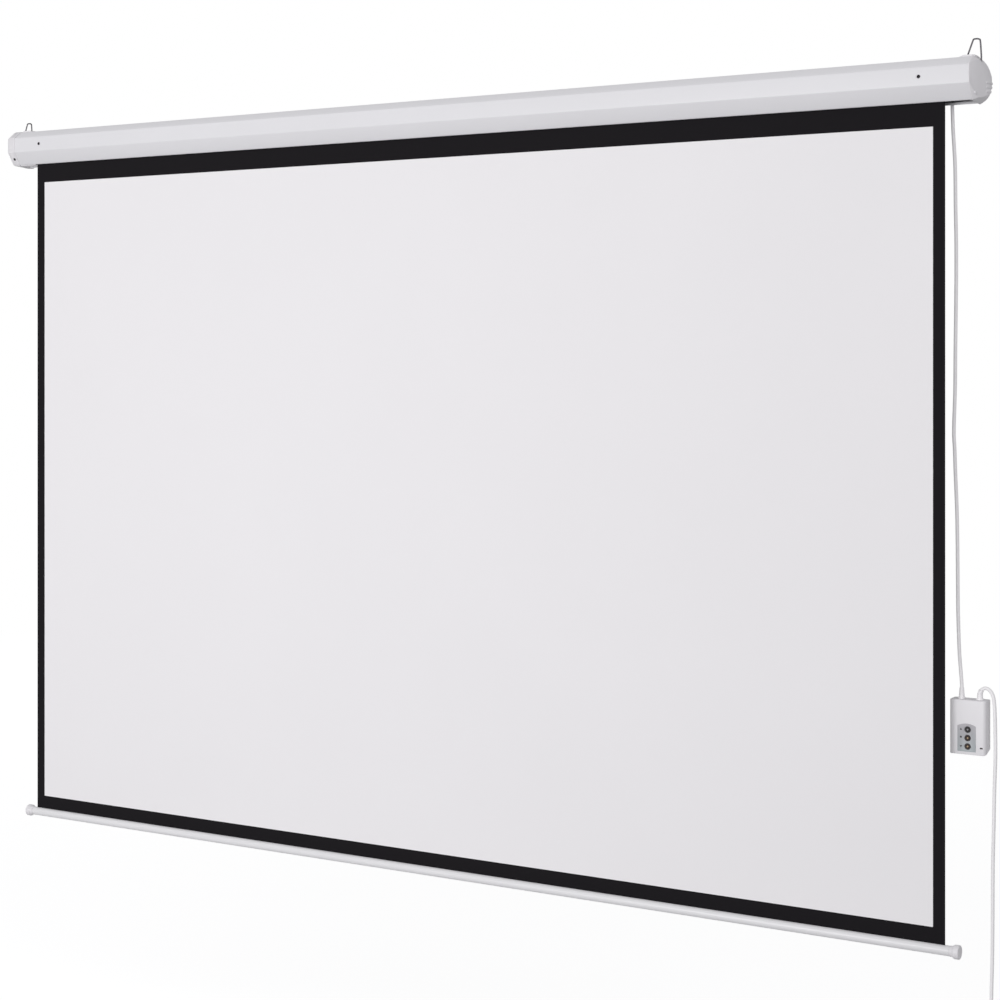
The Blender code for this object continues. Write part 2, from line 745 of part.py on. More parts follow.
def cap_shell(side):
    """Makes the domed shell of an end cap, open towards the case."""
    start = CASE_HALF + GAP
    straight = cap_length(side) - CAP_ROUND
    stations = [(start, 0.0), (start + straight, 0.0)]
    for i in range(1, CAP_ARC_STEPS + 1):
        reach = CAP_ROUND * math.sin(math.pi / 2 * i / (CAP_ARC_STEPS + 0.6))
        stations.append((start + straight + reach, dome_inset(reach)))
    shape = bmesh.new()
    rings = []
    for x, inset in stations:
        outline = rounded(grown(cap_corners(), -inset), CAP_CORNER_RADIUS, steps=3)
        rings.append([shape.verts.new((side * x, y, z)) for y, z in outline])
    for near, far in zip(rings, rings[1:]):
        for i in range(len(near)):
            shape.faces.new((near[i - 1], near[i], far[i], far[i - 1]))
    shape.faces.new(rings[-1])
    bmesh.ops.recalc_face_normals(shape, faces=shape.faces)
    shell = object_from("end_cap_" + side_name(side), shape)
    wall = shell.modifiers.new("wall", "SOLIDIFY")
    wall.thickness = CAP_WALL
    wall.offset = -1.0
    wall.use_even_offset = True
    return as_mesh(shell)


def cap_hump(side):
    """Makes the hump on a cap's top that guides the bail, with a tongue over the case."""
    inner = CASE_HALF - HUMP_INNER_REACH
    outer = CASE_HALF + HUMP_OUTER_REACH
    low = CASE_TOP + GAP
    outline = [
        (side * inner, low),
        (side * outer, low),
        (side * outer, CAP_TOP),
        (side * (outer - HUMP_RISE), HUMP_TOP),
        (side * (inner + HUMP_RAMP), HUMP_TOP),
        (side * inner, low + CAP_OVERSIZE / 2),
    ]
    hump = plate_outline("hump_" + side_name(side), [outline], -HUMP_HALF_DEPTH, HUMP_HALF_DEPTH, "Y")
    return as_mesh(hump)


def cap_rib(side, row):
    """Makes one of the short grip ribs that wrap the cap's rear edge."""
    height = FACE_TOP - CAP_RIB_TOP - row * CAP_RIB_PITCH
    start = CASE_HALF + GAP + cap_length(side) - CAP_ROUND
    ends = []
    for reach in (CAP_RIB_START, CAP_ROUND - CAP_RIB_MARGIN):
        sunk = CAP_RIB_RADIUS / 2
        ends.append((side * (start + reach - sunk), back_edge(height) - dome_inset(reach) - sunk, height))
    return rod("rib_%s_%d" % (side_name(side), row), ends[0], ends[1], CAP_RIB_RADIUS, sides=12)


def make_end_cap(side):
    """Makes one end cap: domed shell, bail hump, bosses against the plate and grip ribs."""
    cap = cap_shell(side)
    join(cap, cap_hump(side))
    end_x = side * (CASE_HALF + GAP + cap_length(side) - CAP_WALL / 2)
    seat_x = side * (PLATE_X + PLATE_THICKNESS / 2 + GAP)
    for sign in (-1, 1):
        y = sign * CAP_BOSS_SPREAD / 2
        name = "boss_%s_%s" % (side_name(side), side_name(sign))
        join(cap, rod(name, (end_x, y, FACE_MIDDLE), (seat_x, y, FACE_MIDDLE), CAP_BOSS_RADIUS, sides=16))
    for row in range(CAP_RIB_COUNT):
        join(cap, cap_rib(side, row))
    middles, half = bail_leg_slots(side)
    for middle, word in zip(middles, ("first", "second")):
        cut(cap, bail_slot_cutter("cap_slot_%s_%s" % (side_name(side), word), middle, half))
    cut(cap, cap_screw_hole(side, "cap_screw_hole_" + side_name(side)))
    finish(cap, "cap_plastic")


def cap_screw_line(side, start_depth, end_depth):
    """Gives two places on the line of a cap screw, by their depth under the bevel."""
    x = side * (CASE_HALF + CAP_SCREW_OUT)
    middle = math.hypot(LOW_BEVEL_RISE, LOW_BEVEL_RUN) / 2
    start = bevel_point(middle, start_depth)
    end = bevel_point(middle, end_depth)
    return (x, start.x, start.y), (x, end.x, end.y)


def cap_screw_hole(side, name):
    """Makes the cutter of the hole that a cap screw passes through."""
    start, end = cap_screw_line(side, -2 * CAP_WALL, CASE_SCREW_LENGTH)
    return rod(name, start, end, CASE_SCREW_RADIUS + GAP, sides=16)


def make_bail(side):
    """Makes a wire bail: a narrow top, splayed legs and feet turned out under the case's top."""
    sunk = BAIL_DROP if side < 0 else 0.0
    axis = axis_empty("bail_axis_" + side_name(side), (side * BAIL_CENTRE, 0.0, -sunk))
    foot_z = CASE_TOP - CASE_WALL - GAP - BAIL_WIRE
    half = [
        (BAIL_SPREAD + BAIL_FOOT, foot_z),
        (BAIL_SPREAD, foot_z),
        (BAIL_SPREAD, CASE_TOP - BAIL_WIRE / 2),
        (BAIL_TOP_HALF, BAIL_WIRE),
    ]
    outline = [(-x, z) for x, z in half] + [(x, z) for x, z in reversed(half)]
    bent = [outline[0]]
    for i in range(1, len(outline) - 1):
        radius = BAIL_BEND if i in (3, 4) else BAIL_FOOT_BEND
        bent += rounded(outline[i - 1:i + 2], radius, closed=False, steps=3)[1:-1]
    bent.append(outline[-1])
    points = [(side * BAIL_CENTRE + x, 0.0, z - sunk) for x, z in bent]
    finish(tube("bail_" + side_name(side), points, BAIL_WIRE), "steel", axis)


def make_end_plate(side):
    """Makes the steel plate in one end of the case: roller seat, front tab and an ear for the cap."""
    name = side_name(side)
    inset = CASE_WALL + PLATE_CLEARANCE
    outline = rounded(grown(case_corners(), -inset), CASE_CORNER_RADIUS, steps=3)
    hole = PIN_RADIUS + GAP if side < 0 else LIMIT_SCREW_SPREAD + LIMIT_SCREW_RADIUS + LIMIT_SCREW_ROOM
    loops = [outline, circle((ROLLER_Y, ROLLER_Z), hole, 20)]
    low = side * PLATE_X - PLATE_THICKNESS / 2
    plate = plate_outline("end_plate_" + name, loops, low, low + PLATE_THICKNESS, "X")
    plate = as_mesh(plate)
    near = FRONT_Y + inset
    screw_x = case_screw_x(side)
    tab_ends = sorted((screw_x - side * PLATE_TAB_PAST_SCREW, side * PLATE_X))
    half = PLATE_TAB_HEIGHT / 2
    start = (tab_ends[0], near, FACE_MIDDLE - half)
    end = (tab_ends[1], near + PLATE_THICKNESS, FACE_MIDDLE + half)
    join(plate, block("plate_tab_" + name, start, end))
    middle = math.hypot(LOW_BEVEL_RISE, LOW_BEVEL_RUN) / 2
    depth = CAP_WALL + PLATE_CLEARANCE
    ear = [tuple(bevel_point(middle + along, under)) for along, under in (
        (-PLATE_EAR_WIDTH / 2, depth), (PLATE_EAR_WIDTH / 2, depth),
        (PLATE_EAR_WIDTH / 2, depth + PLATE_THICKNESS), (-PLATE_EAR_WIDTH / 2, depth + PLATE_THICKNESS))]
    ear_ends = sorted((side * PLATE_X, side * (PLATE_X + PLATE_EAR_REACH)))
    join(plate, as_mesh(plate_outline("plate_ear_" + name, [ear], ear_ends[0], ear_ends[1], "X")))
    cut(plate, cap_screw_hole(side, "ear_hole_" + name))
    start = (screw_x, near - CASE_WALL, FACE_MIDDLE)
    end = (screw_x, near + PLATE_THICKNESS + CASE_WALL, FACE_MIDDLE)
    cut(plate, rod("tab_hole_" + name, start, end, CASE_SCREW_RADIUS + GAP, sides=16))
    finish(plate, "steel")


def make_screw(name, head_place, tip_place, head_radius, head_height, radius, material):
    """Makes a pan-head screw with a cross recess, its head resting at one place, down to its tip."""
    seat = Vector(head_place)
    down = (Vector(tip_place) - seat).normalized()
    length = (Vector(tip_place) - seat).length
    profile = [
        (0.0, head_height), (0.6 * head_radius, head_height), (0.9 * head_radius, 0.7 * head_height),
        (head_radius, 0.0), (radius, 0.0), (radius, -length + radius), (0.0, -length),
    ]
    screw = as_mesh(turned(name, profile, -down, seat, 16))
    across = down.orthogonal().normalized()
    for turn, arm in enumerate((across, down.cross(across))):
        top = seat - down * (head_height + SCREW_RECESS)
        bottom = seat - down * (head_height - SCREW_RECESS)
        half = 0.55 * head_radius
        cut(screw, slab("recess_%s_%d" % (name, turn), top, bottom, arm, half, SCREW_RECESS_WIDTH / 2))
    finish(screw, material)


def slab(name, top, bottom, arm, half_length, half_width):
    """Makes a thin upright box between two places, long on an arm direction."""
    down = (bottom - top).normalized()
    side = down.cross(arm)
    shape = bmesh.new()
    frame = Matrix((arm * half_length * 2, side * half_width * 2, down * (bottom - top).length)).transposed()
    bmesh.ops.create_cube(shape, size=1.0, matrix=Matrix.Translation((top + bottom) / 2) @ frame.to_4x4())
    bmesh.ops.recalc_face_normals(shape, faces=shape.faces)
    return object_from(name, shape)


def make_case_screws():
    """Makes the screws through the case's front into the plates' tabs, and those of the caps."""
    for side in (-1, 1):
        x = case_screw_x(side)
        head = (x, FRONT_Y - GAP, FACE_MIDDLE)
        tip = (x, FRONT_Y - GAP + CASE_SCREW_LENGTH, FACE_MIDDLE)
        make_screw("case_screw_" + side_name(side), head, tip, CASE_SCREW_HEAD,
                   CASE_SCREW_HEAD_HEIGHT, CASE_SCREW_RADIUS, "steel")
        head, tip = cap_screw_line(side, -CAP_OVERSIZE - GAP, CASE_SCREW_LENGTH - CAP_OVERSIZE - GAP)
        make_screw("cap_screw_" + side_name(side), head, tip, CASE_SCREW_HEAD,
                   CASE_SCREW_HEAD_HEIGHT, CASE_SCREW_RADIUS, "steel")


def make_roller(axis):
    """Makes the roller tube and the turns of screen that stay wound on it."""
    profile = [(ROLLER_RADIUS, ROLLER_HALF), (ROLLER_RADIUS, -ROLLER_HALF),
               (ROLLER_BORE, -ROLLER_HALF), (ROLLER_BORE, ROLLER_HALF)]
    place = (0.0, ROLLER_Y, ROLLER_Z)
    finish(turned("roller_tube", profile, (1, 0, 0), place), "aluminium", axis)
    inner = ROLLER_RADIUS + GAP
    profile = [(WRAP_RADIUS, FABRIC_HALF), (WRAP_RADIUS, -FABRIC_HALF),
               (inner, -FABRIC_HALF), (inner, FABRIC_HALF)]
    finish(turned("fabric_wrap", profile, (1, 0, 0), place), "matte_white", axis)


def make_motor():
    """Makes the tubular motor's fixed head and body."""
    place = (0.0, ROLLER_Y, ROLLER_Z)
    tail = MOTOR_HEAD_START - MOTOR_LENGTH
    profile = [
        (0.0, MOTOR_HEAD_END), (MOTOR_HEAD_RADIUS - MOTOR_HEAD_EDGE, MOTOR_HEAD_END),
        (MOTOR_HEAD_RADIUS, MOTOR_HEAD_END - MOTOR_HEAD_EDGE), (MOTOR_HEAD_RADIUS, MOTOR_HEAD_START),
        (0.0, MOTOR_HEAD_START),
    ]
    head = as_mesh(turned("motor_head", profile, (1, 0, 0), place))
    for sign in (-1, 1):
        middle = ROLLER_Y + sign * LIMIT_SCREW_SPREAD
        start = (MOTOR_HEAD_END + LIMIT_SCREW_PROUD, middle, ROLLER_Z)
        end = (MOTOR_HEAD_END - LIMIT_SCREW_DEPTH - GAP, middle, ROLLER_Z)
        cut(head, rod("limit_hole_" + side_name(sign), start, end, LIMIT_SCREW_RADIUS + GAP, sides=16))
    finish(head, "black_plastic")
    start = (tail, ROLLER_Y, ROLLER_Z)
    end = (MOTOR_HEAD_START - GAP, ROLLER_Y, ROLLER_Z)
    finish(rod("motor_body", start, end, MOTOR_RADIUS), "steel")
    return tail


def shaft_outline(clearance):
    """Gives the (y, z) outline of the motor's output shaft, round with one flat, grown by a clearance."""
    flat = ROLLER_Z + MOTOR_SHAFT_RADIUS - MOTOR_SHAFT_FLAT + clearance
    points = circle((ROLLER_Y, ROLLER_Z), MOTOR_SHAFT_RADIUS + clearance, 24)
    return [(y, min(z, flat)) for y, z in points if z < flat + MOTOR_SHAFT_FLAT / 2]


def make_limit_screws():
    """Makes the two screws that set where the motor stops, each slotted for a driver."""
    for sign, name in ((-1, "limit_screw_down"), (1, "limit_screw_up")):
        middle = (MOTOR_HEAD_END, ROLLER_Y + sign * LIMIT_SCREW_SPREAD, ROLLER_Z)
        axis = axis_empty("axis_" + name, middle)
        start = (MOTOR_HEAD_END - LIMIT_SCREW_DEPTH, middle[1], ROLLER_Z)
        end = (MOTOR_HEAD_END + LIMIT_SCREW_PROUD, middle[1], ROLLER_Z)
        screw = rod(name, start, end, LIMIT_SCREW_RADIUS, sides=16)
        reach = 2 * LIMIT_SCREW_RADIUS
        half = LIMIT_SLOT_WIDTH / 2
        low = (end[0] - LIMIT_SLOT_DEPTH, middle[1] - reach, ROLLER_Z - half)
        high = (end[0] + LIMIT_SLOT_DEPTH, middle[1] + reach, ROLLER_Z + half)
        cut(screw, block("slot_" + name, low, high))
        finish(screw, "brass", axis)


def make_crown(axis):
    """Makes the ring that centres the roller tube on the motor, with its rim against the tube's end."""
    bore = MOTOR_RADIUS + GAP
    fit = ROLLER_BORE - GAP
    end = ROLLER_HALF + GAP
    profile = [
        (ROLLER_RADIUS, end + CROWN_RIM), (ROLLER_RADIUS, end), (fit, end),
        (fit, ROLLER_HALF - CROWN_LENGTH), (bore, ROLLER_HALF - CROWN_LENGTH), (bore, end + CROWN_RIM),
    ]
    finish(turned("crown_ring", profile, (1, 0, 0), (0.0, ROLLER_Y, ROLLER_Z)), "black_plastic", axis)


def make_drive_wheel(axis, tail):
    """Makes the motor's output shaft and the toothed wheel on it that turns the roller tube."""
    start = tail - GAP
    rim = ROLLER_BORE - GAP
    root = rim - WHEEL_NOTCH
    tooth = [(WHEEL_TOOTH_SHARE * i / 3, rim) for i in range(4)]
    tooth += [(WHEEL_TOOTH_SHARE + WHEEL_FLANK_SHARE, root), (1.0 - WHEEL_FLANK_SHARE, root)]
    loop = []
    for i in range(WHEEL_TEETH):
        for share, radius in tooth:
            angle = 2 * math.pi * (i + share) / WHEEL_TEETH
            loop.append((ROLLER_Y + radius * math.cos(angle), ROLLER_Z + radius * math.sin(angle)))
    wheel = plate_outline("drive_wheel", [loop, shaft_outline(GAP)], start - WHEEL_LENGTH, start, "X")
    finish(wheel, "black_plastic", axis)
    shaft = plate_outline("motor_shaft", [shaft_outline(0.0)], start - MOTOR_SHAFT_LENGTH, start, "X")
    finish(shaft, "steel", axis)


def make_idle_end(axis):
    """Makes the plug in the roller's free end and the pin in the end plate that it turns on."""
    fit = ROLLER_BORE - GAP
    waist = fit - IDLE_PLUG_STEP
    end = ROLLER_HALF + GAP
    bore = PIN_RADIUS + GAP
    profile = [
        (bore, end + IDLE_PLUG_FLANGE), (ROLLER_RADIUS, end + IDLE_PLUG_FLANGE), (ROLLER_RADIUS, end),
        (fit, end), (fit, end - IDLE_PLUG_LAND), (waist, end - IDLE_PLUG_LAND - IDLE_PLUG_STEP),
        (waist, end - IDLE_PLUG_DEPTH), (bore, end - IDLE_PLUG_DEPTH),
    ]
    finish(turned("idle_plug", profile, (-1, 0, 0), (0.0, ROLLER_Y, ROLLER_Z)), "black_plastic", axis)
    head = PLATE_X + PLATE_THICKNESS / 2 + GAP
    profile = [
        (0.0, head + PIN_HEAD_LENGTH), (PIN_HEAD_RADIUS, head + PIN_HEAD_LENGTH),
        (PIN_HEAD_RADIUS, head), (PIN_RADIUS, head), (PIN_RADIUS, end - PIN_REACH),
        (0.0, end - PIN_REACH),
    ]
    finish(turned("idle_pin", profile, (-1, 0, 0), (0.0, ROLLER_Y, ROLLER_Z), 20), "steel")


def make_screen():
    """Makes the hanging screen, one flat sheet from the roller down into the weight bar."""
    bottom = BAR_Z + HEM_ROD_RADIUS + GAP
    low = (-FABRIC_HALF, FABRIC_Y - FABRIC_THICKNESS / 2, bottom)
    high = (FABRIC_HALF, FABRIC_Y + FABRIC_THICKNESS / 2, ROLLER_Z)
    finish(block("screen_fabric", low, high), "matte_white")


def make_bar():
    """Makes the weight bar: a slotted tube, the rod in the screen's hem and two flared caps."""
    axis = axis_empty("bar_axis", (0.0, FABRIC_Y, BAR_Z))
    half_angle = math.asin(BAR_SLOT / 2 / BAR_RADIUS)
    outline = []
    for i in range(TURN_SIDES + 1):
        angle = math.pi / 2 + half_angle + (2 * math.pi - 2 * half_angle) * i / TURN_SIDES
        outline.append((FABRIC_Y + BAR_RADIUS * math.cos(angle), BAR_Z + BAR_RADIUS * math.sin(angle)))
    outline.reverse()
    tube_piece = as_mesh(strip("bar_tube", outline, -BAR_HALF, BAR_HALF, -BAR_WALL))
    finish(tube_piece, "case_paint", axis)
    rod_ends = (-FABRIC_HALF, FABRIC_Y, BAR_Z), (FABRIC_HALF, FABRIC_Y, BAR_Z)
    finish(rod("hem_rod", rod_ends[0], rod_ends[1], HEM_ROD_RADIUS, sides=12), "steel", axis)
    for side in (-1, 1):
        fit = BAR_RADIUS - BAR_WALL - GAP
        neck = BAR_RADIUS + BAR_CAP_STEP
        start = BAR_HALF + GAP
        flare = start + BAR_CAP_NECK
        barrel = flare + BAR_CAP_FLARE
        end = barrel + BAR_CAP_BARREL
        profile = [
            (0.0, end), (BAR_CAP_RADIUS - BAR_CAP_ROUND, end),
            (BAR_CAP_RADIUS - 0.3 * BAR_CAP_ROUND, end - 0.3 * BAR_CAP_ROUND),
            (BAR_CAP_RADIUS, end - BAR_CAP_ROUND), (BAR_CAP_RADIUS, barrel),
            (neck, flare), (neck, start), (fit, start),
            (fit, start - BAR_CAP_SPIGOT), (0.0, start - BAR_CAP_SPIGOT),
        ]
        cap = turned("bar_cap_" + side_name(side), profile, (side, 0, 0), (0.0, FABRIC_Y, BAR_Z), 24)
        finish(cap, "cap_plastic", axis)


def box_form(name, inset):
    """Makes the closed form of the control box, drawn in by a wall, with its underside sloped."""
    left = BOX_CENTRE_X - BOX_WIDTH / 2 + inset
    right = BOX_CENTRE_X + BOX_WIDTH / 2 - inset
    near = BOX_FRONT_Y + inset
    far = BOX_BACK_Y - inset
    corners = [(left, near), (right, near), (right, far), (left, far)]
    front_round = BOX_EDGE_ROUND - inset
    back_round = BOX_BACK_ROUND - inset
    plan = rounded(corners, [front_round, front_round, back_round, back_round])
    middle = (BOX_TOP_Z + BOX_BOTTOM_Z) / 2
    form = as_mesh(plate_outline(name, [plan], BOX_BOTTOM_Z + inset, BOX_TOP_Z - inset, "Z"))
    for corner in form.data.vertices:
        height = (form.matrix_world @ corner.co).z
        if height < middle:
            corner.co.z += (corner.co.y - BOX_FRONT_Y) / BOX_DEPTH * BOX_TOE_RISE
    return form


def box_half(name, cut_from, cut_to):
    """Makes one half of the control box's shell, without what lies between two places along Y."""
    half = box_form(name, 0.0)
    cut(half, box_form(name + "_inside", BOX_WALL))
    reach = BOX_WIDTH
    low = (BOX_CENTRE_X - reach, cut_from, BOX_BOTTOM_Z - reach)
    cut(half, block(name + "_other_half", low, (BOX_CENTRE_X + reach, cut_to, BOX_TOP_Z + reach)))
    return half


def button_height(row):
    """Gives the height of one of the three buttons, counted from the top."""
    return BOX_BOTTOM_Z + BUTTON_FOOT_RISE + (BUTTON_COUNT - 1 - row) * BUTTON_PITCH


def make_box_front():
    """Makes the front half of the control box with its holes and screw posts."""
    front = box_half("box_front", BOX_SEAM_Y - GAP / 2, BOX_BACK_Y + BOX_WALL)
    over = BOX_FRONT_Y - BOX_WALL
    under = BOX_FRONT_Y + 2 * BOX_WALL
    for row in range(BUTTON_COUNT):
        height = button_height(row)
        hole = rod("button_hole_%d" % row, (BOX_CENTRE_X, over, height), (BOX_CENTRE_X, under, height),
                   BUTTON_RADIUS + GAP, sides=24)
        cut(front, hole)
    window_x = BOX_CENTRE_X + WINDOW_ASIDE
    window_z = BOX_BOTTOM_Z + WINDOW_FOOT_RISE
    half_x = WINDOW_WIDTH / 2 + GAP
    half_z = WINDOW_HEIGHT / 2 + GAP
    low = (window_x - half_x, over, window_z - half_z)
    cut(front, block("window_hole", low, (window_x + half_x, under, window_z + half_z)))
    for x, label in ((MOTOR_RELIEF_X, "motor"), (MAINS_RELIEF_X, "mains")):
        low = (x, CABLE_Y, BOX_TOP_Z - 2 * BOX_WALL)
        high = (x, CABLE_Y, BOX_TOP_Z + BOX_WALL)
        cut(front, rod("relief_hole_" + label, low, high, RELIEF_SPIGOT_RADIUS + GAP, sides=20))
    for aside in (-1, 1):
        x, z = post_place(aside)
        start = (x, BOX_FRONT_Y + BOX_WALL / 2, z)
        end = (x, BOX_SEAM_Y - GAP / 2, z)
        join(front, rod("post_front_" + side_name(aside), start, end, SCREW_POST_RADIUS, sides=16))
        end = (x, BOX_BACK_Y, z)
        start = (x, BOX_BACK_Y - BOX_SCREW_SINK - BOX_SCREW_LENGTH - GAP, z)
        pilot = rod("pilot_" + side_name(aside), start, end, BOX_SCREW_RADIUS + GAP, sides=12)
        cut(front, pilot)
    finish(front, "box_plastic")


def post_place(aside):
    """Gives the (x, z) place of one of the box's two screw posts."""
    return BOX_CENTRE_X + aside * SCREW_POST_ASIDE, BOX_TOP_Z - SCREW_POST_HEIGHT


def make_box_rear():
    """Makes the rear half of the control box, with the screws that hold it on."""
    rear = box_half("box_rear", BOX_FRONT_Y - BOX_WALL, BOX_SEAM_Y + GAP / 2)
    for aside in (-1, 1):
        word = side_name(aside)
        x, z = post_place(aside)
        start = (x, BOX_SEAM_Y + GAP / 2, z)
        join(rear, rod("post_rear_" + word, start, (x, BOX_BACK_Y - BOX_WALL / 2, z), SCREW_POST_RADIUS,
                       sides=16))
        start = (x, BOX_SEAM_Y - BOX_WALL, z)
        end = (x, BOX_BACK_Y + BOX_WALL, z)
        cut(rear, rod("rear_hole_" + word, start, end, BOX_SCREW_RADIUS + GAP, sides=12))
        start = (x, BOX_BACK_Y - BOX_SCREW_SINK, z)
        cut(rear, rod("sink_" + word, start, end, BOX_SCREW_HEAD + GAP, sides=16))
        head = (x, BOX_BACK_Y - BOX_SCREW_SINK + GAP, z)
        tip = (x, BOX_BACK_Y - BOX_SCREW_SINK - BOX_SCREW_LENGTH + GAP, z)
        make_screw("box_screw_" + word, head, tip, BOX_SCREW_HEAD, BOX_SCREW_HEAD_HEIGHT,
                   BOX_SCREW_RADIUS, "steel")
    finish(rear, "box_plastic")


def make_label():
    """Makes the grey label plate with its arched top edge and three holes."""
    middle = BOX_CENTRE_X + LABEL_SHIFT
    half = LABEL_WIDTH / 2
    bottom = BOX_BOTTOM_Z + LABEL_FOOT
    shoulder = bottom + LABEL_HEIGHT
    outline = [(middle - half, bottom), (middle + half, bottom)]
    for i in range(LABEL_ARC_STEPS + 1):
        share = i / LABEL_ARC_STEPS
        rise = LABEL_ARCH * (1 - (2 * share - 1) ** 2)
        outline.append((middle + half - share * LABEL_WIDTH, shoulder + rise))
    heights = [button_height(row) for row in range(BUTTON_COUNT)]
    holes = [circle((BOX_CENTRE_X, height), BUTTON_RADIUS + GAP, 24) for height in heights]
    back = BOX_FRONT_Y - GAP
    plate = plate_outline("label_plate", [outline] + holes, back - LABEL_THICKNESS, back, "Y")
    finish(plate, "label_grey")


def make_button(row, name):
    """Makes one push button with its flange behind the front wall and its stem."""
    height = button_height(row)
    axis = axis_empty("axis_" + name, (BOX_CENTRE_X, BOX_FRONT_Y, height))
    proud = BUTTON_PROUD
    flange = -BOX_WALL - GAP
    stem = flange - BUTTON_FLANGE
    profile = [
        (0.0, proud - BUTTON_DISH), (0.45 * BUTTON_RADIUS, proud - 0.7 * BUTTON_DISH),
        (0.75 * BUTTON_RADIUS, proud), (0.92 * BUTTON_RADIUS, proud - BUTTON_EDGE / 4),
        (BUTTON_RADIUS, proud - BUTTON_EDGE), (BUTTON_RADIUS, flange), (BUTTON_FLANGE_RADIUS, flange),
        (BUTTON_FLANGE_RADIUS, stem), (BUTTON_STEM_RADIUS, stem),
        (BUTTON_STEM_RADIUS, stem - BUTTON_STEM), (0.0, stem - BUTTON_STEM),
    ]
    place = (BOX_CENTRE_X, BOX_FRONT_Y, height)
    button = as_mesh(turned(name, profile, (0, -1, 0), place, 24))
    top_y = BOX_FRONT_Y - proud
    floor_y = top_y + BUTTON_DISH + BUTTON_INLAY_DEPTH
    start = (BOX_CENTRE_X, top_y - BUTTON_DISH, height)
    end = (BOX_CENTRE_X, floor_y, height)
    cut(button, rod("well_" + name, start, end, BUTTON_INLAY_RADIUS + GAP, sides=16))
    finish(button, "black_plastic", axis)
    start = (BOX_CENTRE_X, top_y + BUTTON_DISH / 2, height)
    end = (BOX_CENTRE_X, floor_y - GAP, height)
    inlay = rod(name.replace("button", "button_inlay"), start, end, BUTTON_INLAY_RADIUS, sides=16)
    finish(inlay, "matte_white", axis)
    return BOX_FRONT_Y - (stem - BUTTON_STEM)


def make_switch(row, name, stem_y):
    """Makes the tact switch that a button's stem presses, standing on the board."""
    height = button_height(row)
    nib_y = stem_y + BUTTON_TRAVEL + GAP
    base_y = BOARD_FRONT_Y - GAP
    half = SWITCH_SIDE / 2
    low = (BOX_CENTRE_X - half, nib_y + SWITCH_NIB, height - half)
    body = block(name, low, (BOX_CENTRE_X + half, base_y, height + half))
    start = (BOX_CENTRE_X, nib_y, height)
    end = (BOX_CENTRE_X, base_y - SWITCH_NIB_ROOT, height)
    join(body, rod("nib_" + name, start, end, SWITCH_NIB_RADIUS, sides=12))
    finish(body, "black_plastic")


def make_buttons():
    """Makes the three buttons and their switches, with the push that stops each one."""
    for row, word in enumerate(("up", "stop", "down")):
        stem_y = make_button(row, "button_" + word)
        make_switch(row, "switch_" + word, stem_y)


def make_board():
    """Makes the circuit board with its relays, terminals, capacitor and indicator."""
    half = BOARD_WIDTH / 2
    top = BOX_TOP_Z - BOARD_TOP_DROP
    low = (BOX_CENTRE_X - half, BOARD_FRONT_Y, BOX_BOTTOM_Z + BOARD_FOOT_RISE)
    board = block("circuit_board", low, (BOX_CENTRE_X + half, BOARD_BACK_Y, top))
    for aside in (-1, 1):
        x, z = post_place(aside)
        start = (x, BOARD_FRONT_Y - BOARD_THICKNESS, z)
        end = (x, BOARD_BACK_Y + BOARD_THICKNESS, z)
        cut(board, rod("board_notch_" + side_name(aside), start, end, SCREW_POST_RADIUS + GAP, sides=16))
    finish(board, "board_green")
    back = BOARD_BACK_Y + GAP
    for aside, word in ((-1, "up"), (1, "down")):
        x = BOX_CENTRE_X + aside * RELAY_SPREAD
        z = BOX_TOP_Z - RELAY_DROP
        low = (x - RELAY_WIDTH / 2, back, z - RELAY_HEIGHT / 2)
        high = (x + RELAY_WIDTH / 2, back + RELAY_DEPTH, z + RELAY_HEIGHT / 2)
        finish(block("relay_" + word, low, high), "relay_blue")
    z = BOX_TOP_Z - TERMINAL_DROP
    low = (BOX_CENTRE_X - TERMINAL_WIDTH / 2, back, z - TERMINAL_HEIGHT / 2)
    high = (BOX_CENTRE_X + TERMINAL_WIDTH / 2, back + TERMINAL_DEPTH, z + TERMINAL_HEIGHT / 2)
    finish(block("terminal_block", low, high), "board_green")
    z = BOX_BOTTOM_Z + CAPACITOR_FOOT_RISE
    y = back + CAPACITOR_RADIUS
    start = (BOX_CENTRE_X - CAPACITOR_LENGTH / 2, y, z)
    end = (BOX_CENTRE_X + CAPACITOR_LENGTH / 2, y, z)
    finish(rod("capacitor", start, end, CAPACITOR_RADIUS, sides=20), "black_plastic")


def make_window():
    """Makes the small dark window in the box's front, with a shoulder behind the wall."""
    x = BOX_CENTRE_X + WINDOW_ASIDE
    z = BOX_BOTTOM_Z + WINDOW_FOOT_RISE
    seat_y = BOX_FRONT_Y + BOX_WALL + GAP
    low = (x - WINDOW_WIDTH / 2, BOX_FRONT_Y + GAP, z - WINDOW_HEIGHT / 2)
    high = (x + WINDOW_WIDTH / 2, seat_y + WINDOW_SHOULDER_DEPTH / 2, z + WINDOW_HEIGHT / 2)
    pane = block("indicator_window", low, high)
    low = (x - WINDOW_WIDTH / 2, seat_y, z - WINDOW_HEIGHT / 2 - WINDOW_SHOULDER)
    high = (x + WINDOW_WIDTH / 2, seat_y + WINDOW_SHOULDER_DEPTH, z + WINDOW_HEIGHT / 2 + WINDOW_SHOULDER)
    join(pane, block("window_shoulder", low, high))
    finish(pane, "clear_window")


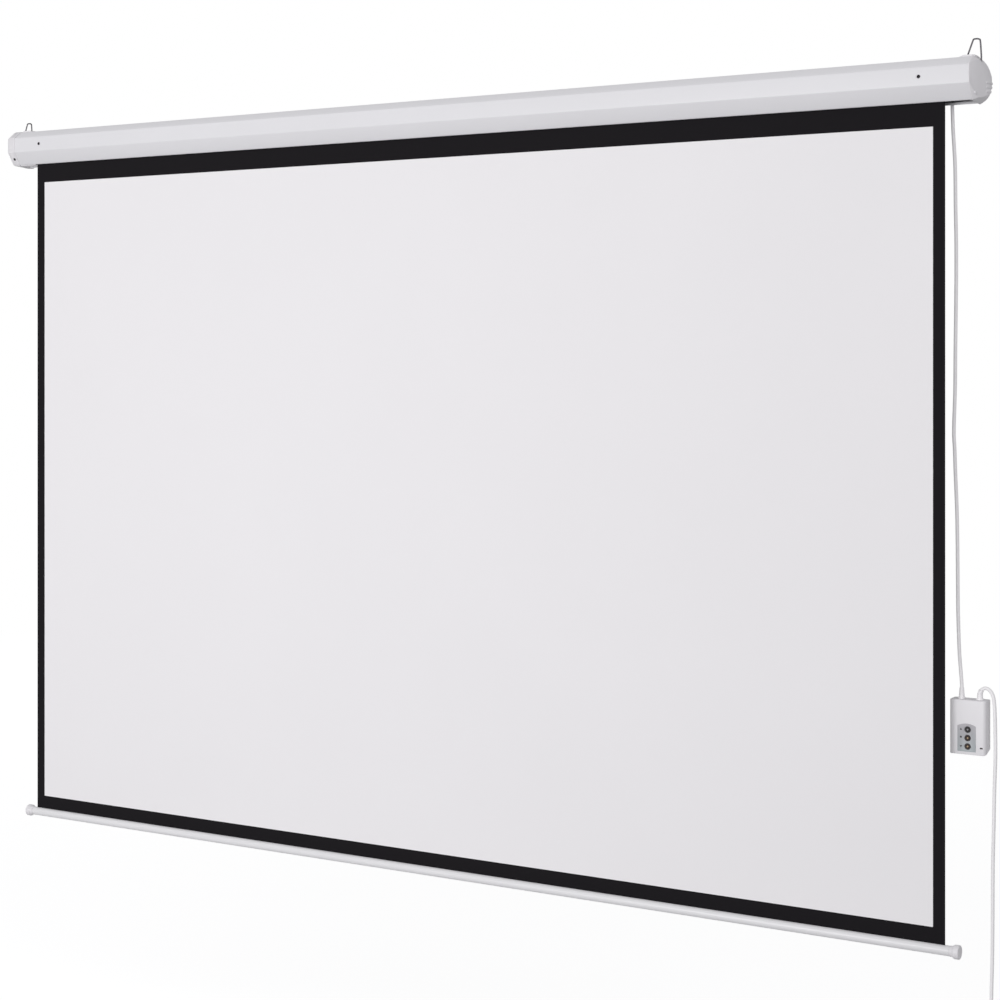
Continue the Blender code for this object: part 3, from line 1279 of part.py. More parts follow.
def make_gland():
    """Makes the grommet in the rear of the case's underside that the motor cable hangs from."""
    under = LIP_Z - GAP
    over = LIP_Z + CASE_WALL + GAP
    profile = [
        (0.0, over + GLAND_FLANGE), (GLAND_FLANGE_RADIUS, over + GLAND_FLANGE),
        (GLAND_FLANGE_RADIUS, over), (GLAND_NECK_RADIUS, over), (GLAND_NECK_RADIUS, under),
        (GLAND_FLANGE_RADIUS, under), (GLAND_FLANGE_RADIUS, under - GLAND_FLANGE),
        (0.0, under - GLAND_FLANGE),
    ]
    finish(turned("cable_gland", profile, (0, 0, 1), (GLAND_X, CABLE_Y, 0.0), 20), "black_plastic")
    return over + GLAND_FLANGE, under - GLAND_FLANGE


def make_motor_lead(gland_top):
    """Makes the short lead inside the case, up from the gland and over to the motor's head."""
    start = Vector((GLAND_X, CABLE_Y, gland_top + GAP))
    end = Vector(((MOTOR_HEAD_START + MOTOR_HEAD_END) / 2, ROLLER_Y, ROLLER_Z - MOTOR_HEAD_RADIUS - 2 * GAP))
    stub = Vector((0.0, 0.0, LEAD_RADIUS))
    bend = Vector((0.0, 0.0, (end.z - start.z) / 2))
    points = interpolate_bezier(start + stub, start + bend, end - bend, end - stub, LEAD_POINTS)
    finish(tube("motor_lead", [start] + points + [end], LEAD_RADIUS), "black_plastic")


def make_motor_relief():
    """Makes the tapered strain relief that the motor cable enters the box by."""
    base = BOX_TOP_Z + GAP
    profile = [
        (0.0, base + RELIEF_HEIGHT), (RELIEF_TIP_RADIUS, base + RELIEF_HEIGHT),
        (RELIEF_BASE_RADIUS - RELIEF_STEP, base + RELIEF_COLLAR),
        (RELIEF_BASE_RADIUS, base + RELIEF_COLLAR),
        (RELIEF_BASE_RADIUS, base), (RELIEF_SPIGOT_RADIUS, base),
        (RELIEF_SPIGOT_RADIUS, base - BOX_WALL - RELIEF_SPIGOT_PAST),
        (0.0, base - BOX_WALL - RELIEF_SPIGOT_PAST),
    ]
    place = (MOTOR_RELIEF_X, CABLE_Y, 0.0)
    finish(turned("relief_motor", profile, (0, 0, 1), place, 20), "cord_white")
    return base + RELIEF_HEIGHT


def sleeve_lean():
    """Gives the place where the bent sleeve ends and the way that the mains cord leaves it."""
    end = Vector((CASE_HALF + SLEEVE_END[0], CABLE_Y, SLEEVE_END[1]))
    way_x = MAINS_ROUTE[0][0] - SLEEVE_ROUTE[-1][0]
    way_z = MAINS_ROUTE[0][1] - SLEEVE_ROUTE[-1][1]
    return end, Vector((way_x, 0.0, way_z)).normalized()


def make_mains_relief():
    """Makes the bent sleeve that the mains cord leaves the box by, on a collar and a spigot."""
    end, lean = sleeve_lean()
    base = BOX_TOP_Z + GAP
    x = MAINS_RELIEF_X
    route = ((x - CASE_HALF, base + RELIEF_COLLAR / 2),) + SLEEVE_ROUTE + (SLEEVE_END,)
    points = smooth_through(route, CABLE_Y, SLEEVE_STEP)[:-1]
    points += [end - lean * CORD_RADIUS / 2, end - lean * GAP / 2]
    radii = [SLEEVE_RADIUS + SLEEVE_TAPER * (1 - i / (len(points) - 1)) for i in range(len(points))]
    sleeve = as_mesh(tube("relief_mains", points, SLEEVE_RADIUS, 3, radii))
    low = (x, CABLE_Y, base)
    high = (x, CABLE_Y, base + RELIEF_COLLAR)
    join(sleeve, rod("mains_collar", low, high, RELIEF_BASE_RADIUS, sides=20))
    low = (x, CABLE_Y, base - BOX_WALL - RELIEF_SPIGOT_PAST)
    high = (x, CABLE_Y, base + RELIEF_COLLAR / 2)
    join(sleeve, rod("mains_spigot", low, high, RELIEF_SPIGOT_RADIUS, sides=20))
    finish(sleeve, "cord_white")


def make_motor_cable(gland_bottom, relief_tip):
    """Makes the motor cable's free stretch from the case's gland down to the box's relief."""
    top = gland_bottom - GAP
    foot = relief_tip + GAP
    start_x = GLAND_X - CASE_HALF
    foot_x = MOTOR_RELIEF_X - CASE_HALF
    route = ((start_x, top), (start_x, top - CORD_DIAMETER)) + MOTOR_ROUTE
    route += ((foot_x, foot + CORD_DIAMETER), (foot_x, foot))
    finish(tube("motor_cable", smooth_through(route, CABLE_Y, CORD_STEP), CORD_RADIUS), "cord_white")


def make_mains_cord(hank_start):
    """Makes the mains cord's free stretch from the bent sleeve over and down to the hank."""
    end, lean = sleeve_lean()
    foot = hank_start.z + GAP
    route = (SLEEVE_END,) + MAINS_ROUTE
    foot_x = hank_start.x - CASE_HALF
    route += ((foot_x, foot + CORD_DIAMETER), (foot_x, foot))
    points = [end + lean * GAP / 2, end + lean * CORD_RADIUS / 2]
    points += smooth_through(route, CABLE_Y, CORD_STEP)[1:]
    finish(tube("mains_cord", points, CORD_RADIUS), "cord_white")


def hank_point(turns, centre):
    """Gives one point of the hank's winding, counted in turns from the middle of its right run."""
    spiral = abs(HANK_LOOPS_PER_LAYER - turns)
    radius = HANK_FOLD_RADIUS + HANK_PITCH * spiral
    arc = math.pi * radius
    loop = 2 * HANK_RUN + 2 * arc
    along = (turns % 1.0) * loop
    climb = min(1.0, max(0.0, (turns - HANK_LOOPS_PER_LAYER + 0.25) / 0.5))
    lift = HANK_LAYER * climb * climb * (3 - 2 * climb)
    half = HANK_RUN / 2
    if along < half or along >= loop - half:
        down = along if along < half else along - loop
        draw = HANK_WAIST * math.cos(math.pi * down / HANK_RUN) ** 2
        side, height = radius - draw, -down
    elif along < half + arc:
        angle = (along - half) / radius
        side, height = radius * math.cos(angle), -half - radius * math.sin(angle)
    elif along < half + arc + HANK_RUN:
        up = along - half - arc - half
        draw = HANK_WAIST * math.cos(math.pi * up / HANK_RUN) ** 2
        side, height = draw - radius, up
    else:
        angle = (along - half - arc - HANK_RUN) / radius
        side, height = -radius * math.cos(angle), half + radius * math.sin(angle)
    return centre + Vector((side, lift, height))


def hank_points():
    """Winds the hank: in along the front layer, a climb along a run, and out along the back layer."""
    radius = HANK_FOLD_RADIUS + HANK_PITCH * HANK_LOOPS_PER_LAYER
    loop = 2 * HANK_RUN + 2 * math.pi * radius
    lead_in = HANK_LEAD_SHARE * (HANK_RUN / 2) / loop
    spread = radius + HANK_PITCH * lead_in
    centre = Vector((HANK_START_X - spread, CABLE_Y, HANK_CENTRE_Z))
    total = 2 * HANK_LOOPS_PER_LAYER + 2 * lead_in
    count = round(total * HANK_POINTS_PER_LOOP)
    points = [hank_point(-lead_in + total * i / count, centre) for i in range(count + 1)]
    top = points[0] + Vector((0.0, 0.0, CORD_DIAMETER))
    foot = points[-1] - Vector((0.0, 0.0, CORD_DIAMETER))
    return [top] + points + [foot], centre


def segment_gap(a, b, c, d):
    """Gives the least distance between two straight segments."""
    u = b - a
    v = d - c
    w = a - c
    uu, uv, vv, uw, vw = u.dot(u), u.dot(v), v.dot(v), u.dot(w), v.dot(w)
    bottom = uu * vv - uv * uv
    s = min(1.0, max(0.0, (uv * vw - vv * uw) / bottom)) if bottom > 1e-12 else 0.5
    t = min(1.0, max(0.0, (uv * s + vw) / vv))
    s = min(1.0, max(0.0, (uv * t - uw) / uu))
    return ((a + u * s) - (c + v * t)).length


def report_gap(name, points, radius):
    """Measures and prints a wound tube's least gap to itself."""
    least = 1.0
    reach = 3
    for i in range(len(points) - 1):
        for j in range(i + reach, len(points) - 1):
            least = min(least, segment_gap(points[i], points[i + 1], points[j], points[j + 1]))
    length = sum((b - a).length for a, b in zip(points, points[1:]))
    print("%s: least gap %.2f mm, length %.3f m" % (name, (least - 2 * radius) * 1000, length))


def in_band(points, low, high):
    """Gives where a line of points runs between two heights, with the places where it enters."""
    inside = [p for p in points if low <= p.z <= high]
    for a, b in zip(points, points[1:]):
        for level in (low, high):
            if (a.z - level) * (b.z - level) < 0:
                inside.append(a.lerp(b, (level - a.z) / (b.z - a.z)))
    return inside


def make_hank():
    """Makes the wound part of the mains cord, the strap round its waist and returns its ends."""
    points, centre = hank_points()
    report_gap("mains_hank", points, CORD_RADIUS)
    finish(tube("mains_hank", points, CORD_RADIUS, 1), "cord_white")
    at_waist = in_band(points, centre.z - TIE_HEIGHT / 2, centre.z + TIE_HEIGHT / 2)
    left = min(p.x for p in at_waist) - CORD_RADIUS - TIE_CLEARANCE
    right = max(p.x for p in at_waist) + CORD_RADIUS + TIE_CLEARANCE
    near = centre.y - CORD_RADIUS - TIE_CLEARANCE
    far = centre.y + HANK_LAYER + CORD_RADIUS + TIE_CLEARANCE
    hole = [(left, near), (right, near), (right, far), (left, far)]
    loops = [rounded(offset(hole, TIE_THICKNESS), TIE_CORNER + TIE_THICKNESS, steps=4),
             rounded(hole, TIE_CORNER, steps=4)]
    low = centre.z - TIE_HEIGHT / 2
    finish(plate_outline("hank_tie", loops, low, low + TIE_HEIGHT, "Z"), "black_plastic")
    return points[0], points[-1]


def make_plug(top):
    """Makes the three-pin plug that hangs under the hank, with its strain relief upward."""
    start = top.z - GAP
    body_top = start - PLUG_RELIEF_LENGTH
    body_low = body_top - PLUG_BODY
    low = (top.x - PLUG_WIDTH / 2, top.y - PLUG_THICKNESS / 2, body_low)
    high = (top.x + PLUG_WIDTH / 2, top.y + PLUG_THICKNESS / 2, body_top)
    body = block("plug_body", low, high)
    edge = body.modifiers.new("edges", "BEVEL")
    edge.width = PLUG_EDGE
    edge.segments = 2
    edge.limit_method = "ANGLE"
    tip = (top.x, top.y, start)
    base = (top.x, top.y, body_top - PLUG_RELIEF_ROOT)
    join(body, rod("plug_relief", base, tip, PLUG_RELIEF_BASE, PLUG_RELIEF_TIP, sides=16))
    for aside, word in ((-1, "left"), (1, "right")):
        x = top.x + aside * BLADE_SPREAD
        y = top.y - BLADE_OFFSET
        low = Vector((x - BLADE_THICKNESS / 2, y - BLADE_WIDTH / 2, body_low - BLADE_LENGTH))
        high = Vector((x + BLADE_THICKNESS / 2, y + BLADE_WIDTH / 2, body_low + BLADE_SOCKET))
        room = Vector((GAP, GAP, GAP))
        cut(body, block("socket_" + word, low - room, high + room))
        finish(block("plug_blade_" + word, low, high), "brass")
    y = top.y + GROUND_OFFSET
    start = Vector((top.x, y, body_low - GROUND_LENGTH))
    end = Vector((top.x, y, body_low + BLADE_SOCKET))
    room = Vector((0.0, 0.0, GAP))
    cut(body, rod("socket_ground", start, end + room, GROUND_RADIUS + GAP, sides=16))
    finish(rod("plug_ground_pin", start, end, GROUND_RADIUS, sides=16), "brass")
    finish(body, "cord_white")


def main():
    """Builds the whole object."""
    make_materials()
    make_case_shell()
    for side in (-1, 1):
        make_end_cap(side)
        make_end_plate(side)
        make_bail(side)
    roller_axis = axis_empty("roller_axis", (0.0, ROLLER_Y, ROLLER_Z))
    make_roller(roller_axis)
    tail = make_motor()
    make_limit_screws()
    make_crown(roller_axis)
    make_drive_wheel(roller_axis, tail)
    make_idle_end(roller_axis)
    make_screen()
    make_bar()
    make_case_screws()
    make_box_front()
    make_box_rear()
    make_label()
    make_buttons()
    make_board()
    make_window()
    gland_top, gland_bottom = make_gland()
    make_motor_lead(gland_top)
    relief_tip = make_motor_relief()
    make_motor_cable(gland_bottom, relief_tip)
    make_mains_relief()
    hank_start, hank_end = make_hank()
    make_mains_cord(hank_start)
    make_plug(hank_end)
    print("bar lift %.4f m" % BAR_LIFT)


main()
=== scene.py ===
"""Models a motorized projector screen over its packed CAD frame.

A white steel case hangs on two wire bails. A motor in its roller lowers the screen and its weight
bar, and a cable from the case carries a control box with three buttons and the mains cord.
"""

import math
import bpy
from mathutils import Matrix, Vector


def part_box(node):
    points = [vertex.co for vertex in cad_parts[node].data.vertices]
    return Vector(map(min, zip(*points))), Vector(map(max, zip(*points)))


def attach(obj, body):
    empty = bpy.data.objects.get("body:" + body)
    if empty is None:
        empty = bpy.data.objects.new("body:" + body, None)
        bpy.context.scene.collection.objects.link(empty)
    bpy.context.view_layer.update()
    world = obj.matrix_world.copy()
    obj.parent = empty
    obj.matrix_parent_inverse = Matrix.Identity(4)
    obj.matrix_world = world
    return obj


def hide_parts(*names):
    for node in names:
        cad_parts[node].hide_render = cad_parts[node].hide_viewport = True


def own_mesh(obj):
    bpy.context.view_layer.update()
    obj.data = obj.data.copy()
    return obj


bl_info = {
    "name": "Motorized Projector Screen",
    "version": (1, 0, 0),
    "blender": (4, 5, 0),
    "location": "3D Viewport > Sidebar > Projector Screen",
    "description": "Models a motorized projector screen with its control box and cords",
    "category": "Add Mesh",
}

import bmesh
import bpy
from bpy.props import FloatProperty, FloatVectorProperty, IntProperty, PointerProperty
from mathutils import Vector

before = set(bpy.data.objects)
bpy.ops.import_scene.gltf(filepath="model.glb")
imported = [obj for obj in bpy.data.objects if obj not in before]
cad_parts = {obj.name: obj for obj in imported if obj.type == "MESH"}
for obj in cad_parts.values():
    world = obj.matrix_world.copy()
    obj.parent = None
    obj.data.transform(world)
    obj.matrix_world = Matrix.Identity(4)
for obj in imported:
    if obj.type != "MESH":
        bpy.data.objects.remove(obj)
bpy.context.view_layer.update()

X_AXIS = Vector((1.0, 0.0, 0.0))
Y_AXIS = Vector((0.0, 1.0, 0.0))
Z_AXIS = Vector((0.0, 0.0, 1.0))
SIDES = {"left": -1, "right": 1}
# Things nearer to each other than this are at one place
NEAR = 0.0001

# Both cords hang in one plane, behind the case's middle; the motor's leaves the grommet here
CORD_PLANE = 0.018
GROMMET = 1.1685
# The cords' routes in that plane, as (x, z) in metres
MOTOR_ROUTE = (
    (1.1700, -0.1670), (1.1723, -0.2050), (1.1741, -0.2430), (1.1749, -0.3200), (1.1760, -0.3770),
    (1.1762, -0.4340), (1.1757, -0.4920), (1.1745, -0.5880), (1.1738, -0.6640), (1.1715, -0.7410),
    (1.1731, -0.7790), (1.1747, -0.8270), (1.1774, -0.8930), (1.1785, -0.9510), (1.1790, -1.0080),
    (1.1797, -1.0840), (1.1822, -1.1610), (1.1848, -1.1960),
)
SLEEVE_ROUTE = ((1.2228, -1.2507), (1.2226, -1.2455), (1.2230, -1.2395), (1.2251, -1.2338))
MAINS_ROUTE = (
    (1.2251, -1.2338), (1.2287, -1.2305), (1.2335, -1.2292), (1.2392, -1.2309), (1.2443, -1.2357),
    (1.2478, -1.2430), (1.2500, -1.2540), (1.2515, -1.2780), (1.2524, -1.3260), (1.2523, -1.3640),
    (1.2505, -1.4200), (1.2490, -1.4960), (1.2474, -1.5720), (1.2470, -1.6670), (1.2463, -1.7430),
    (1.2448, -1.8000),
)
# Where the cord comes down into the hank
HANK_ENTRY = 1.2437

# Profiles, all in millimetres
# A bail's wire from its inner foot over its top to its outer foot, as (across, below the top)
BAIL_BEND = (
    (-16.6, 38.2), (-15.0, 37.8), (-14.4, 36.6), (-14.0, 34.0), (-13.3, 31.0), (-3.6, 5.2), (-2.6, 2.2),
    (-0.8, 0.4), (3.2, 0.0), (7.0, 0.3), (9.8, 1.6), (11.6, 5.2), (13.4, 31.0), (13.4, 40.0), (13.4, 50.0),
)
# Where a bail's legs slide through the case and the cap, across from the bail's middle
BAIL_SLOTS = ((-16.5, -4.7), (8.4, 17.1))
# How far the rings of the right cap's dome lie in from its edge
DOME_INSETS = (0.8, 2.0, 3.8, 6.0, 9.0, 12.5, 17.0, 22.0, 27.0)
# Turned pieces, ring by ring, as (radius, height)
SCREW_RINGS = (
    (1.7, -6.0), (1.7, 0.0), (3.4, 0.0), (3.4, 0.6), (3.0, 1.2), (1.8, 1.6), (0.8, 1.6), (0.7, 0.8),
)
BAR_END_RINGS = (
    (7.7, -8.0), (7.7, 0.0), (10.0, 0.0), (10.25, 0.3), (10.25, 3.6), (10.6, 4.8), (12.7, 8.2), (13.3, 9.1),
    (13.5, 10.0), (13.5, 17.2), (13.4, 18.0), (12.9, 18.8), (12.0, 19.3), (10.8, 19.5), (10.0, 19.2),
)
PAD_RINGS = ((1.7, -0.1), (1.7, 0.6), (1.6, 0.8), (1.2, 1.0), (0.6, 1.1))

# Each button: its name, its finishes, and its mark's corners, turn and height over its middle
BUTTONS = (
    ("up", "black_abs", "grey_abs", 3, 0.0, 0.0),
    ("stop", "brown_abs", "tan_abs", 4, math.pi / 4, 0.0015),
    ("down", "brown_abs", "tan_abs", 3, math.pi, 0.0),
)

# The grip ribs' top over the middle of the case
RIB_TOPS = {"left": 0.0005, "right": -0.0035}
# From the middle of the right cap's edge to its dome's crown
CROWN_SHIFT = Vector((0.0, 0.014, -0.013))

CAMERA_PLACE = (2.443, -3.761, -0.616)
CAMERA_TURN = math.radians(31.17)
CAMERA_SHIFT = -0.135
# The wide light's direction and how softly it spreads
FRONT_WAY = Vector((-0.07, 1.0, -0.09))
FRONT_SPREAD = math.radians(22)
# Round lamps: name, place, what it points at, width, share of the key light's power
LAMPS = (
    ("key_light", (-0.7, -3.7, -0.75), (-0.5, 0.0, -0.85), 1.6, 1.0),
    ("side_light", (3.2, -1.0, 0.35), (1.2, 0.0, -0.2), 1.0, 0.13),
)


def linear(code):
    """Turns an sRGB hex colour into linear red, green and blue."""
    values = [int(code[i:i + 2], 16) / 255 for i in (0, 2, 4)]
    return tuple(v / 12.92 if v <= 0.04045 else ((v + 0.055) / 1.055) ** 2.4 for v in values)


# Settings that a user would change

def size_prop(label, about, millimetres):
    """Makes a length setting, given in millimetres and kept in metres."""
    return FloatProperty(name=label, description=about, default=millimetres / 1000, min=0.0,
                         unit="LENGTH", subtype="DISTANCE", precision=5)


def colour_prop(label, about, code):
    """Makes a colour setting from an sRGB hex colour."""
    return FloatVectorProperty(name=label, description=about, default=linear(code), size=3,
                               min=0.0, max=1.0, subtype="COLOR")


class ProjectorColours(bpy.types.PropertyGroup):
    """Colours of the finishes."""

    case: colour_prop("Case", "Powder coat of the steel case", "E2E1E4")
    bar: colour_prop("Weight bar", "Painted aluminium of the weight bar", "E2E1E3")
    plastic: colour_prop("Plastic", "Moulded ABS of the end caps and the control box", "E2E0E3")
    screen: colour_prop("Screen", "Coated front of the screen", "ECEAEC")
    border: colour_prop("Border", "Black printed border and back of the screen", "161417")
    cord: colour_prop("Cords", "PVC sheath of the cable and the mains cord", "F2F0F2")
    label_top: colour_prop("Label top", "Upper end of the label's printed grey", "A9A6AB")
    label_foot: colour_prop("Label foot", "Lower end of the label's printed grey", "A8AFB2")


class ProjectorCase(bpy.types.PropertyGroup):
    """Sizes of the case, its end caps and its bails."""

    wall: size_prop("Steel thickness", "Thickness of the case's sheet", 1.3)
    edge: size_prop("Edge rounding", "Rounding of the case's long edges", 1.5)
    bevel_run: size_prop("Upper bevel depth", "How far the upper bevel leans back", 22)
    bevel_rise: size_prop("Upper bevel height", "Height of the upper bevel", 17)
    low_run: size_prop("Lower bevel depth", "How far the lower bevel leans back", 20)
    low_rise: size_prop("Lower bevel height", "Height of the lower bevel", 30.6)
    slot_front: size_prop("Slot front", "How far the slot's front edge lies before the middle", 22)
    slot_rear: size_prop("Slot rear", "How far the slot's rear edge lies behind the middle", 12)
    lip_drop: size_prop("Rear lip", "How far the slot's rear edge is turned down", 3.7)
    gland_hole: size_prop("Grommet hole", "Radius of the hole for the cable's grommet", 4.5)
    screw_hole: size_prop("Screw hole", "Radius of the case's screw holes", 2.2)
    cap_round: size_prop("Cap rounding", "Radius of the left cap's domed end", 14)
    cap_wall: size_prop("Cap wall", "Thickness of the end caps", 1.8)
    cap_rim: size_prop("Cap rim", "Narrow turned-in rim where the caps meet the case", 0.7)
    cap_edge: size_prop("Cap edges", "Rounding of the edges between the caps' faces", 2.2)
    toe_drop: size_prop("Cap toe", "How much the caps' underside falls towards the back", 3.5)
    toe_half: size_prop("Cap underside", "Half the depth of the caps' flat underside", 24.65)
    dome_skirt: size_prop("Right cap's skirt", "Straight part of the right cap before its dome", 1.5)
    dome_half: size_prop("Right cap's half height", "From the right cap's edge to its middle", 42)
    dome_fullness: FloatProperty(name="Right cap's fullness", default=3.2, min=1.0, max=8.0,
                                 description="How full the right cap's dome is")
    dome_slope: FloatProperty(name="Right cap's slope", default=math.radians(71), subtype="ANGLE",
                              description="How far the front of the right cap's dome turns outwards")
    hump_half: size_prop("Hump", "Half the depth of the humps that the bails pass through", 13)
    hump_reach: size_prop("Hump reach", "How far the humps go past the end of the case", 4)
    hump_ramp: size_prop("Hump ramp", "Length of the humps' inner ramp", 11)
    hump_rise: size_prop("Hump rise", "Height that the humps' ramp climbs", 3.8)
    rib_pitch: size_prop("Rib pitch", "Distance between the caps' grip ribs", 8.5)
    rib_height: size_prop("Rib height", "Height of each grip rib", 3.2)
    wire: size_prop("Bail wire", "Radius of the bails' wire", 1.55)


class ProjectorScreen(bpy.types.PropertyGroup):
    """Sizes of the screen and its weight bar."""

    view_width: size_prop("Viewing width", "Width of the white area", 2286)
    top_border: size_prop("Top border", "Height of the black above the white area, below the case", 45.7)
    bottom_border: size_prop("Bottom border", "Height of the black below the white area", 31)
    thickness: size_prop("Screen thickness", "Thickness of the coated cloth", 0.5)
    bar_radius: size_prop("Bar radius", "Radius of the weight bar", 9.9)
    bar_wall: size_prop("Bar wall", "Thickness of the weight bar's tube", 1.2)
    bar_slot: size_prop("Bar slot", "Half the width of the slot that the screen goes into", 0.85)


class ProjectorBox(bpy.types.PropertyGroup):
    """Sizes of the control box."""

    edge: size_prop("Front rounding", "Rounding of the box's right upright front edge", 7)
    left_edge: size_prop("Left rounding", "Rounding of the box's left upright front edge", 3)
    back_edge: size_prop("Back rounding", "Rounding of the box's upright back edges", 3)
    wall: size_prop("Wall", "Thickness of the box's walls", 2)
    toe_rise: size_prop("Toe rise", "How much the underside climbs towards the back", 10.5)
    cord_hole: size_prop("Cord holes", "Radius of the holes for the two cords", 4.8)
    arch: size_prop("Label arch", "Radius of the label's arched top", 37.45)
    button: size_prop("Button radius", "Radius of the three buttons", 5.9)
    button_gap: size_prop("Button gap", "Gap round each button", 0.3)
    pitch: size_prop("Button pitch", "Distance between the buttons", 16)
    mark_shift: size_prop("Mark distance", "From a button's middle to the mark left of it", 13)


class ProjectorCords(bpy.types.PropertyGroup):
    """Sizes of the two cords."""

    diameter: size_prop("Diameter", "Diameter of both cords", 6.8)
    motor_length: size_prop("Motor cable", "Length of the cable from the case to the box", 1120)
    mains_length: size_prop("Mains cord", "Length of the mains cord from the box to the plug", 1900)
    hank_run: size_prop("Hank run", "Length of the hank's straight runs", 102)
    hank_fold: size_prop("Hank fold", "Radius of the hank's inmost fold", 20.5)
    hank_pitch: size_prop("Hank pitch", "Distance between turns that lie side by side", 8.6)
    hank_lift: size_prop("Hank lift", "How far the last turns lie behind the first", 7.7)
    hank_waist: size_prop("Hank waist", "How far the tie draws each run in", 12.5)
    hank_points: IntProperty(name="Points a loop", description="Route points in each loop of the hank",
                             default=24, min=12, max=96)


class ProjectorStage(bpy.types.PropertyGroup):
    """The floor, the lights and the camera."""

    floor_drop: size_prop("Floor", "How far the floor lies under the hanging line", 2160)
    floor_radius: size_prop("Floor radius", "How far the floor reaches", 30000)
    lens: FloatProperty(name="Lens", description="Focal length of the camera", default=73.26,
                        min=10.0, unit="CAMERA")
    front_light: FloatProperty(name="Front light", description="Strength of the wide light from the front",
                               default=1.0, min=0.0, max=10.0)
    key_power: FloatProperty(name="Key light", description="Power of the near light left of the middle",
                             default=42.0, min=0.0, unit="POWER")
    world_strength: FloatProperty(name="Room light", description="Strength of the even room light",
                                  default=0.56, min=0.0, max=4.0)


SETTINGS = {
    "projector_colours": ProjectorColours,
    "projector_case": ProjectorCase,
    "projector_screen": ProjectorScreen,
    "projector_box": ProjectorBox,
    "projector_cords": ProjectorCords,
    "projector_stage": ProjectorStage,
}


# Modelling as by hand

def start_clean():
    """Leaves edit mode and deselects everything, the CAD nodes too."""
    close_edit()
    bpy.ops.object.select_all(action="DESELECT")


def select_only(piece):
    """Selects one piece and makes it the active one."""
    start_clean()
    piece.select_set(True)
    bpy.context.view_layer.objects.active = piece


def settle(name):
    """Names the new piece and puts its place, turn and size into its mesh."""
    piece = bpy.context.active_object
    piece.name = name
    piece.data.name = name
    select_only(piece)
    bpy.ops.object.transform_apply(location=True, rotation=True, scale=True)
    return piece


def add_block(name, low, high):
    """Adds a cube primitive that fills the space between two corners."""
    start_clean()
    low, high = Vector(low), Vector(high)
    bpy.ops.mesh.primitive_cube_add(size=1.0, location=(low + high) / 2)
    bpy.context.active_object.scale = high - low
    return settle(name)


def add_rod(name, start, end, radius, sides=48, ends="NGON"):
    """Adds a cylinder primitive between two places."""
    start_clean()
    way = end - start
    bpy.ops.mesh.primitive_cylinder_add(vertices=sides, radius=radius, depth=way.length,
                                        end_fill_type=ends, location=(start + end) / 2,
                                        rotation=way.to_track_quat("Z", "Y").to_euler())
    return settle(name)


def link_piece(name, data):
    """Puts new data into the scene as an object."""
    piece = bpy.data.objects.new(name, data)
    bpy.context.scene.collection.objects.link(piece)
    return piece


def make_piece(name, shape):
    """Makes an object of a mesh that was put together corner by corner."""
    mesh = bpy.data.meshes.new(name)
    shape.to_mesh(mesh)
    shape.free()
    return link_piece(name, mesh)


def copy_piece(piece, name):
    """Copies a piece with a mesh of its own."""
    select_only(piece)
    bpy.ops.object.duplicate()
    return settle(name)


def edit(piece, action="DESELECT"):
    """Opens a piece in edit mode with nothing or, by SELECT, all of it selected."""
    select_only(piece)
    bpy.ops.object.mode_set(mode="EDIT")
    bpy.ops.mesh.select_mode(type="FACE")
    bpy.ops.mesh.select_all(action=action)


def close_edit():
    """Goes back to object mode."""
    if bpy.context.mode != "OBJECT":
        bpy.ops.object.mode_set(mode="OBJECT")


def pick(piece, kind, test):
    """Selects the faces, edges or corners of an open piece whose middle and direction pass a test."""
    bpy.ops.mesh.select_mode(type=kind)
    bpy.ops.mesh.select_all(action="DESELECT")
    shape = bmesh.from_edit_mesh(piece.data)
    shape.normal_update()
    if kind == "FACE":
        found = [face for face in shape.faces if test(face.calc_center_median(), face.normal)]
    elif kind == "VERT":
        found = [corner for corner in shape.verts if test(corner.co, corner.normal)]
    else:
        found = []
        for edge in shape.edges:
            a, b = edge.verts[0].co, edge.verts[1].co
            if test((a + b) / 2, (b - a).normalized()):
                found.append(edge)
    for part in found:
        part.select_set(True)
    bmesh.update_edit_mesh(piece.data, loop_triangles=False, destructive=False)


def bevel_picked(piece, width, segments, test):
    """Bevels the edges of an open piece whose middle and direction pass a test."""
    pick(piece, "EDGE", test)
    bpy.ops.mesh.bevel(offset=width, segments=segments, affect="EDGES")


def delete_picked(piece, test):
    """Deletes the faces of an open piece whose middle and normal pass a test."""
    pick(piece, "FACE", test)
    bpy.ops.mesh.delete(type="FACE")


def push(move, shares, centre):
    """Extrudes what is selected and resizes the new end about a centre."""
    bpy.ops.mesh.extrude_region_move(TRANSFORM_OT_translate={"value": move})
    bpy.ops.transform.resize(value=shares, center_override=centre)


def plane_cut(point, normal, fill=True, remove=True):
    """Cuts what is selected with a plane, and takes off the side that the normal points to."""
    bpy.ops.mesh.bisect(plane_co=point, plane_no=normal, use_fill=fill and remove, clear_outer=remove)


def cut_off(piece, cuts):
    """Cuts the corners off a piece with planes, each given by a point and a normal."""
    edit(piece)
    for point, normal in cuts:
        bpy.ops.mesh.select_all(action="SELECT")
        plane_cut(point, Vector(normal).normalized())
    close_edit()


def shift_piece(piece, move):
    """Moves the whole mesh of a piece."""
    edit(piece, "SELECT")
    bpy.ops.transform.translate(value=move)
    close_edit()


